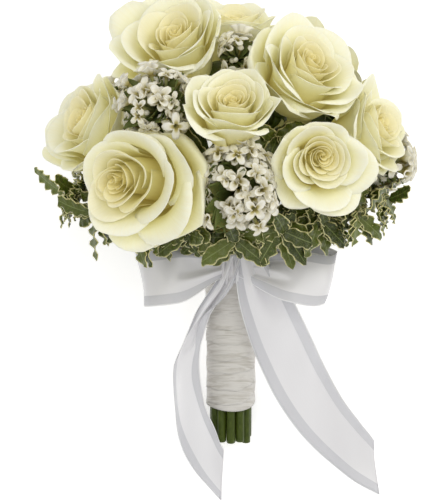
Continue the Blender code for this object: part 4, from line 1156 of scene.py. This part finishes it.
def pittosporum_leaf():
    made, tree, surface = new_material("pittosporum_leaf")
    marks = add(tree, "ShaderNodeAttribute", attribute_name="marks").outputs["Vector"]
    across, along, own = add(tree, "ShaderNodeSeparateXYZ", {"Vector": marks}).outputs
    beside = add(tree, "ShaderNodeMath", {0: across}, operation="ABSOLUTE")
    # Each leaf has a shade of its own, with blotches of about 1 mm and mottling of about 0.3 mm
    mottle = add(tree, "ShaderNodeTexNoise", {"Scale": 210.0, "Detail": 3.0, "Roughness": 0.6})
    blotch = add(tree, "ShaderNodeTexNoise", {"Scale": 75.0, "Detail": 2.0})
    shade = add(tree, "ShaderNodeMix", {0: own, 6: linear("#303B0C"), 7: linear("#626D22")},
                data_type="RGBA")
    light = add(tree, "ShaderNodeMapRange", {"Value": blotch.outputs[0], "From Min": 0.50, "From Max": 0.66,
                                             "To Max": 0.45})
    shade = add(tree, "ShaderNodeMix", {0: light.outputs[0], 6: shade.outputs[2], 7: linear("#7E8442")},
                data_type="RGBA")
    # The margin is uneven, about 0.4 to 1.2 mm wide
    uneven_edge = add(tree, "ShaderNodeMath", {0: mottle.outputs[0], 1: 0.46, 2: beside.outputs[0]},
                      operation="MULTIPLY_ADD")
    margin = add(tree, "ShaderNodeMapRange", {"Value": uneven_edge.outputs[0], "From Min": 1.08,
                                              "From Max": 1.16})
    shade = add(tree, "ShaderNodeMix", {0: margin.outputs[0], 6: shade.outputs[2], 7: linear("#E2DCA0")},
                data_type="RGBA")
    # The midrib is a pale line, and side veins about 3 mm apart slant out from it
    rib = add(tree, "ShaderNodeMapRange", {"Value": beside.outputs[0], "From Min": 0.09, "From Max": 0.02,
                                           "To Max": 0.6})
    shade = add(tree, "ShaderNodeMix", {0: rib.outputs[0], 6: shade.outputs[2], 7: linear("#8E9A5C")},
                data_type="RGBA")
    gloss = add(tree, "ShaderNodeMapRange", {"Value": mottle.outputs[0], "To Min": 0.30, "To Max": 0.52})
    slant = add(tree, "ShaderNodeMath", {0: beside.outputs[0], 1: -0.16, 2: along}, operation="MULTIPLY_ADD")
    ribs = add(tree, "ShaderNodeMath", {0: slant.outputs[0], 1: 62.0}, operation="MULTIPLY")
    ribs = add(tree, "ShaderNodeMath", {0: ribs.outputs[0]}, operation="SINE")
    relief = add(tree, "ShaderNodeBump", {"Height": ribs.outputs[0], "Strength": 0.35,
                                          "Distance": 0.18 * MM})
    relief = add(tree, "ShaderNodeBump", {"Height": rib.outputs[0], "Strength": 0.5, "Distance": 0.4 * MM,
                                          "Normal": relief.outputs[0]})
    feed(surface, {
        "Base Color": shade.outputs[2], "Roughness": gloss.outputs[0], "Normal": relief.outputs[0],
        "IOR": 1.45, "Specular IOR Level": 0.5, "Subsurface Weight": 0.08, "Subsurface Scale": 0.002,
        "Subsurface Radius": (0.6, 1.0, 0.3), "Coat Weight": 0.12, "Coat Roughness": 0.25})
    return made


# Pittosporum twig: young wood under thin bark, brown green, dull and slightly rough

def pittosporum_twig():
    made, tree, surface = new_material("pittosporum_twig")
    # Grain of about 0.3 mm
    bark = add(tree, "ShaderNodeTexNoise", {"Scale": 260.0, "Detail": 3.0})
    body = add(tree, "ShaderNodeMix", {0: bark.outputs[0], 6: linear("#3B3A20"), 7: linear("#727245")},
               data_type="RGBA")
    relief = add(tree, "ShaderNodeBump", {"Height": bark.outputs[0], "Strength": 0.5, "Distance": 0.3 * MM})
    feed(surface, {
        "Base Color": body.outputs[2], "Normal": relief.outputs[0], "Roughness": 0.65, "IOR": 1.45})
    return made


# Cut stems: grown with a smooth green skin, which shines softly, and pale pith where the knife went through

def cut_stem():
    made, tree, surface = new_material("cut_stem")
    marks = add(tree, "ShaderNodeAttribute", attribute_name="marks").outputs["Vector"]
    cut = add(tree, "ShaderNodeSeparateXYZ", {"Vector": marks}).outputs["X"]
    # Streaks about 1.6 mm wide and 11 mm long
    place = add(tree, "ShaderNodeTexCoord")
    streaks = add(tree, "ShaderNodeMapping", {"Vector": place.outputs["Object"], "Scale": (620, 90, 620)})
    streaks = add(tree, "ShaderNodeTexNoise", {"Vector": streaks.outputs[0], "Scale": 1.0, "Detail": 3.0})
    body = add(tree, "ShaderNodeMix", {0: streaks.outputs[0], 6: linear("#283406"), 7: linear("#56661C")},
               data_type="RGBA")
    body = add(tree, "ShaderNodeMix", {0: cut, 6: body.outputs[2], 7: linear("#9CA35E")}, data_type="RGBA")
    relief = add(tree, "ShaderNodeBump", {"Height": streaks.outputs[0], "Strength": 0.35,
                                          "Distance": 0.3 * MM})
    feed(surface, {
        "Base Color": body.outputs[2], "Normal": relief.outputs[0], "Roughness": 0.42, "IOR": 1.42,
        "Specular IOR Level": 0.45, "Subsurface Weight": 0.08, "Subsurface Scale": 0.003,
        "Subsurface Radius": (0.6, 1.0, 0.3)})
    return made


# Satin ribbon, woven of fine threads that lie mostly lengthwise, which gives a smooth sheen. Its edges are
# sheer, with a firm bright thread outermost

def bow_satin():
    made, tree, surface = new_material("bow_satin")
    marks = add(tree, "ShaderNodeAttribute", attribute_name="marks").outputs["Vector"]
    across = add(tree, "ShaderNodeSeparateXYZ", {"Vector": marks}).outputs["X"]
    beside = add(tree, "ShaderNodeMath", {0: across}, operation="ABSOLUTE")
    # The sheer bands are about 7 mm wide, and the outermost threads under 1 mm
    sheer = add(tree, "ShaderNodeMapRange", {"Value": beside.outputs[0], "From Min": 0.60, "From Max": 0.63})
    edge = add(tree, "ShaderNodeMapRange", {"Value": beside.outputs[0], "From Min": 0.95, "From Max": 0.97})
    body = add(tree, "ShaderNodeMix", {0: sheer.outputs[0], 6: linear("#F4F3F5"), 7: linear("#E3E3E7")},
               data_type="RGBA")
    body = add(tree, "ShaderNodeMix", {0: edge.outputs[0], 6: body.outputs[2], 7: linear("#F6F6F7")},
               data_type="RGBA")
    gloss = add(tree, "ShaderNodeMapRange", {"Value": sheer.outputs[0], "To Min": 0.24, "To Max": 0.48})
    clear = add(tree, "ShaderNodeMath", {0: sheer.outputs[0], 1: edge.outputs[0]}, operation="SUBTRACT")
    solid = add(tree, "ShaderNodeMapRange", {"Value": clear.outputs[0], "To Min": 1.0, "To Max": 0.80})
    # Threads 0.25 mm apart, drawn at 0.8 mm so that they show
    threads = add(tree, "ShaderNodeMapping", {"Vector": marks, "Scale": (24.0, 60.0, 0.0)})
    threads = add(tree, "ShaderNodeTexNoise", {"Vector": threads.outputs[0], "Scale": 1.0, "Detail": 2.0})
    relief = add(tree, "ShaderNodeBump", {"Height": threads.outputs[0], "Strength": 0.25,
                                          "Distance": 0.15 * MM})
    feed(surface, {
        "Base Color": body.outputs[2], "Roughness": gloss.outputs[0], "Alpha": solid.outputs[0],
        "Normal": relief.outputs[0], "IOR": 1.5, "Specular IOR Level": 0.60, "Sheen Weight": 0.15,
        "Sheen Roughness": 0.35})
    return made


# The same woven satin, wound tight: it creases finely across the handle, which dulls its sheen. The grey
# down in the creases is painted shade

def wound_satin():
    made, tree, surface = new_material("wound_satin")
    place = add(tree, "ShaderNodeTexCoord")
    # Creases about 3 mm apart and 28 mm long, crossed by finer ones about 1 mm apart
    long_creases = add(tree, "ShaderNodeMapping", {"Vector": place.outputs["Object"],
                                                   "Rotation": (0, 0, math.radians(16)),
                                                   "Scale": (36, 330, 50)})
    creases = add(tree, "ShaderNodeTexNoise", {"Vector": long_creases.outputs[0], "Scale": 1.0,
                                               "Detail": 3.0, "Roughness": 0.6, "Distortion": 1.1})
    fine = add(tree, "ShaderNodeMapping", {"Vector": place.outputs["Object"],
                                           "Rotation": (0, 0, math.radians(-24)),
                                           "Scale": (90, 900, 110)})
    fine = add(tree, "ShaderNodeTexNoise", {"Vector": fine.outputs[0], "Scale": 1.0, "Detail": 2.0})
    # Painted shade: the colour darkens to grey in the low parts of the creases
    body = add(tree, "ShaderNodeMapRange", {"Value": creases.outputs[0], "From Min": 0.30, "From Max": 0.55})
    body = add(tree, "ShaderNodeMix", {0: body.outputs[0], 6: linear("#BFBAB0"), 7: linear("#DDDAD4")},
               data_type="RGBA")
    relief = add(tree, "ShaderNodeBump", {"Height": creases.outputs[0], "Strength": 0.60,
                                          "Distance": 1.1 * MM})
    relief = add(tree, "ShaderNodeBump", {"Height": fine.outputs[0], "Strength": 0.35, "Distance": 0.4 * MM,
                                          "Normal": relief.outputs[0]})
    feed(surface, {
        "Base Color": body.outputs[2], "Normal": relief.outputs[0], "Roughness": 0.42, "IOR": 1.5,
        "Specular IOR Level": 0.40, "Sheen Weight": 0.2, "Sheen Roughness": 0.4})
    return made


# Florist's tape: crepe paper, waxed and drawn tight, so it is dull and finely wrinkled

def waxed_tape():
    made, tree, surface = new_material("waxed_tape")
    # Wrinkles under 0.1 mm, left so fine because the wrap hides the tape
    crepe = add(tree, "ShaderNodeTexNoise", {"Scale": 900.0, "Detail": 2.0})
    body = add(tree, "ShaderNodeMix", {0: crepe.outputs[0], 6: linear("#2C4427"), 7: linear("#4C6A40")},
               data_type="RGBA")
    relief = add(tree, "ShaderNodeBump", {"Height": crepe.outputs[0], "Strength": 0.5, "Distance": 0.2 * MM})
    feed(surface, {
        "Base Color": body.outputs[2], "Normal": relief.outputs[0], "Roughness": 0.7, "IOR": 1.45})
    return made


# Studio floor: seamless board, rolled smooth and uncoated, which gives a pale matt white. Its emission
# stands for the light that fills a studio

def studio_floor():
    made, tree, surface = new_material("seamless_board")
    # Grain of 17 mm, much coarser than the board's own so that it shows on so large a floor
    grain = add(tree, "ShaderNodeTexNoise", {"Scale": 700.0, "Detail": 2.0})
    body = add(tree, "ShaderNodeMix", {0: grain.outputs[0], 6: linear("#F1F1F1"), 7: linear("#F7F7F7")},
               data_type="RGBA")
    feed(surface, {
        "Base Color": body.outputs[2], "Roughness": 0.9, "IOR": 1.45, "Emission Color": (1.0, 1.0, 1.0, 1.0),
        "Emission Strength": 0.51})
    return made


# Camera and light

CAMERA_TILT = 14         # degrees by which the camera stands towards the head, from square on to the stems
CAMERA_FAR = 1.05
CAMERA_AIM = (-0.0058, 0, 0)
SENSOR = 36
VIEW_HIGH = 0.34         # what the picture's height takes in at the aim, in metres
LIGHTS_AIM = Vector((0, 0.03, 0.05))
# Each soft box: the way to it, how far off it is, how wide, and its watts
LIGHTS = {"key": ((0.55, 0.32, 0.80), 1.3, 0.9, 4.1), "front": ((-0.08, -0.05, 1.0), 1.5, 1.2, 5.5)}
LIGHT_COLOUR = (1.0, 0.985, 0.94)
SURROUND = 0.52
FLOOR_FAR = 6.0
FLOOR_DROP = 0.3 * MM    # keeps it clear of the undersides that are pressed flat


def set_camera():
    """The photograph's view: looking at the face of the bouquet, a little from the head's side."""
    tilt = math.radians(CAMERA_TILT)
    turned = LAID.to_3x3()
    back = turned @ Vector((0, -math.cos(tilt), math.sin(tilt)))
    right = (turned @ Vector((0, 0, 1))).cross(back).normalized()
    up = back.cross(right)
    square = Matrix((right, up, back)).transposed().to_4x4()
    lens = bpy.data.cameras.new("camera")
    lens.sensor_width = SENSOR
    lens.lens = SENSOR * CAMERA_FAR / VIEW_HIGH
    made = bpy.data.objects.new("camera", lens)
    made.matrix_world = Matrix.Translation(LAID @ Vector(CAMERA_AIM) + back * CAMERA_FAR) @ square
    bpy.context.scene.collection.objects.link(made)
    bpy.context.scene.camera = made


def set_lights():
    """A large soft box high on the right, one straight over the bouquet and an even white surround."""
    for name, (way, far, size, power) in LIGHTS.items():
        light = bpy.data.lights.new(name, "AREA")
        light.shape = "SQUARE"
        light.size = size
        light.energy = power
        light.color = LIGHT_COLOUR
        made = bpy.data.objects.new(name, light)
        way = Vector(way).normalized()
        made.location = LIGHTS_AIM + way * far
        made.rotation_euler = way.to_track_quat("Z", "Y").to_euler()
        bpy.context.scene.collection.objects.link(made)
    world = bpy.data.worlds.new("surround")
    world.use_nodes = True
    feed(world.node_tree.nodes["Background"], {"Color": (1.0, 1.0, 1.0, 1.0), "Strength": SURROUND})
    bpy.context.scene.world = world
    bpy.context.scene.view_settings.view_transform = "Standard"


def lay_floor(material):
    """The surface that the bouquet lies on."""
    mesh = bpy.data.meshes.new("floor")
    corners = [(x * FLOOR_FAR, y * FLOOR_FAR, 0) for x, y in ((-1, -1), (1, -1), (1, 1), (-1, 1))]
    mesh.from_pydata(corners, [], [(0, 1, 2, 3)])
    mesh.materials.append(material)
    made = bpy.data.objects.new("floor", mesh)
    made.location.z = -FLOOR_DROP
    bpy.context.scene.collection.objects.link(made)


# The bouquet

petals = [rose_petal()]
florets = [bouvardia_floret(), floret_leaf()]
leaves = [pittosporum_leaf(), pittosporum_twig()]
stalks = [cut_stem()]
satin = [bow_satin()]
wound = [wound_satin()]
tape = waxed_tape()

set_camera()
set_lights()
lay_floor(studio_floor())

heads = make_heads()
stems = lay_stems(heads)
for head in heads:
    stem = stems[head.name]
    if head.kind == "rose":
        rose(head, petals)
        rose_stem(stem, stalks)
    elif head.kind == "spray":
        spray(head, florets)
        spray_stem(stem, stalks)
    else:
        sprig(head, stem.path(), leaves)
handle_wrap(wound)
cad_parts["binding_tape"].data.materials.clear()
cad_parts["binding_tape"].data.materials.append(tape)
bow_band(satin)
bow_knot(satin)
bow_loop("bow_loop_left", LOOP_LEFT, LOOP_LEFT_HALF, 2, satin, ("ribbon_bow",))
bow_loop("bow_loop_right", LOOP_RIGHT, LOOP_RIGHT_HALF, 2.5, satin)
bow_tail("bow_tail_left", TAIL_LEFT, 3, satin)
bow_tail("bow_tail_right", TAIL_RIGHT, 7, satin)
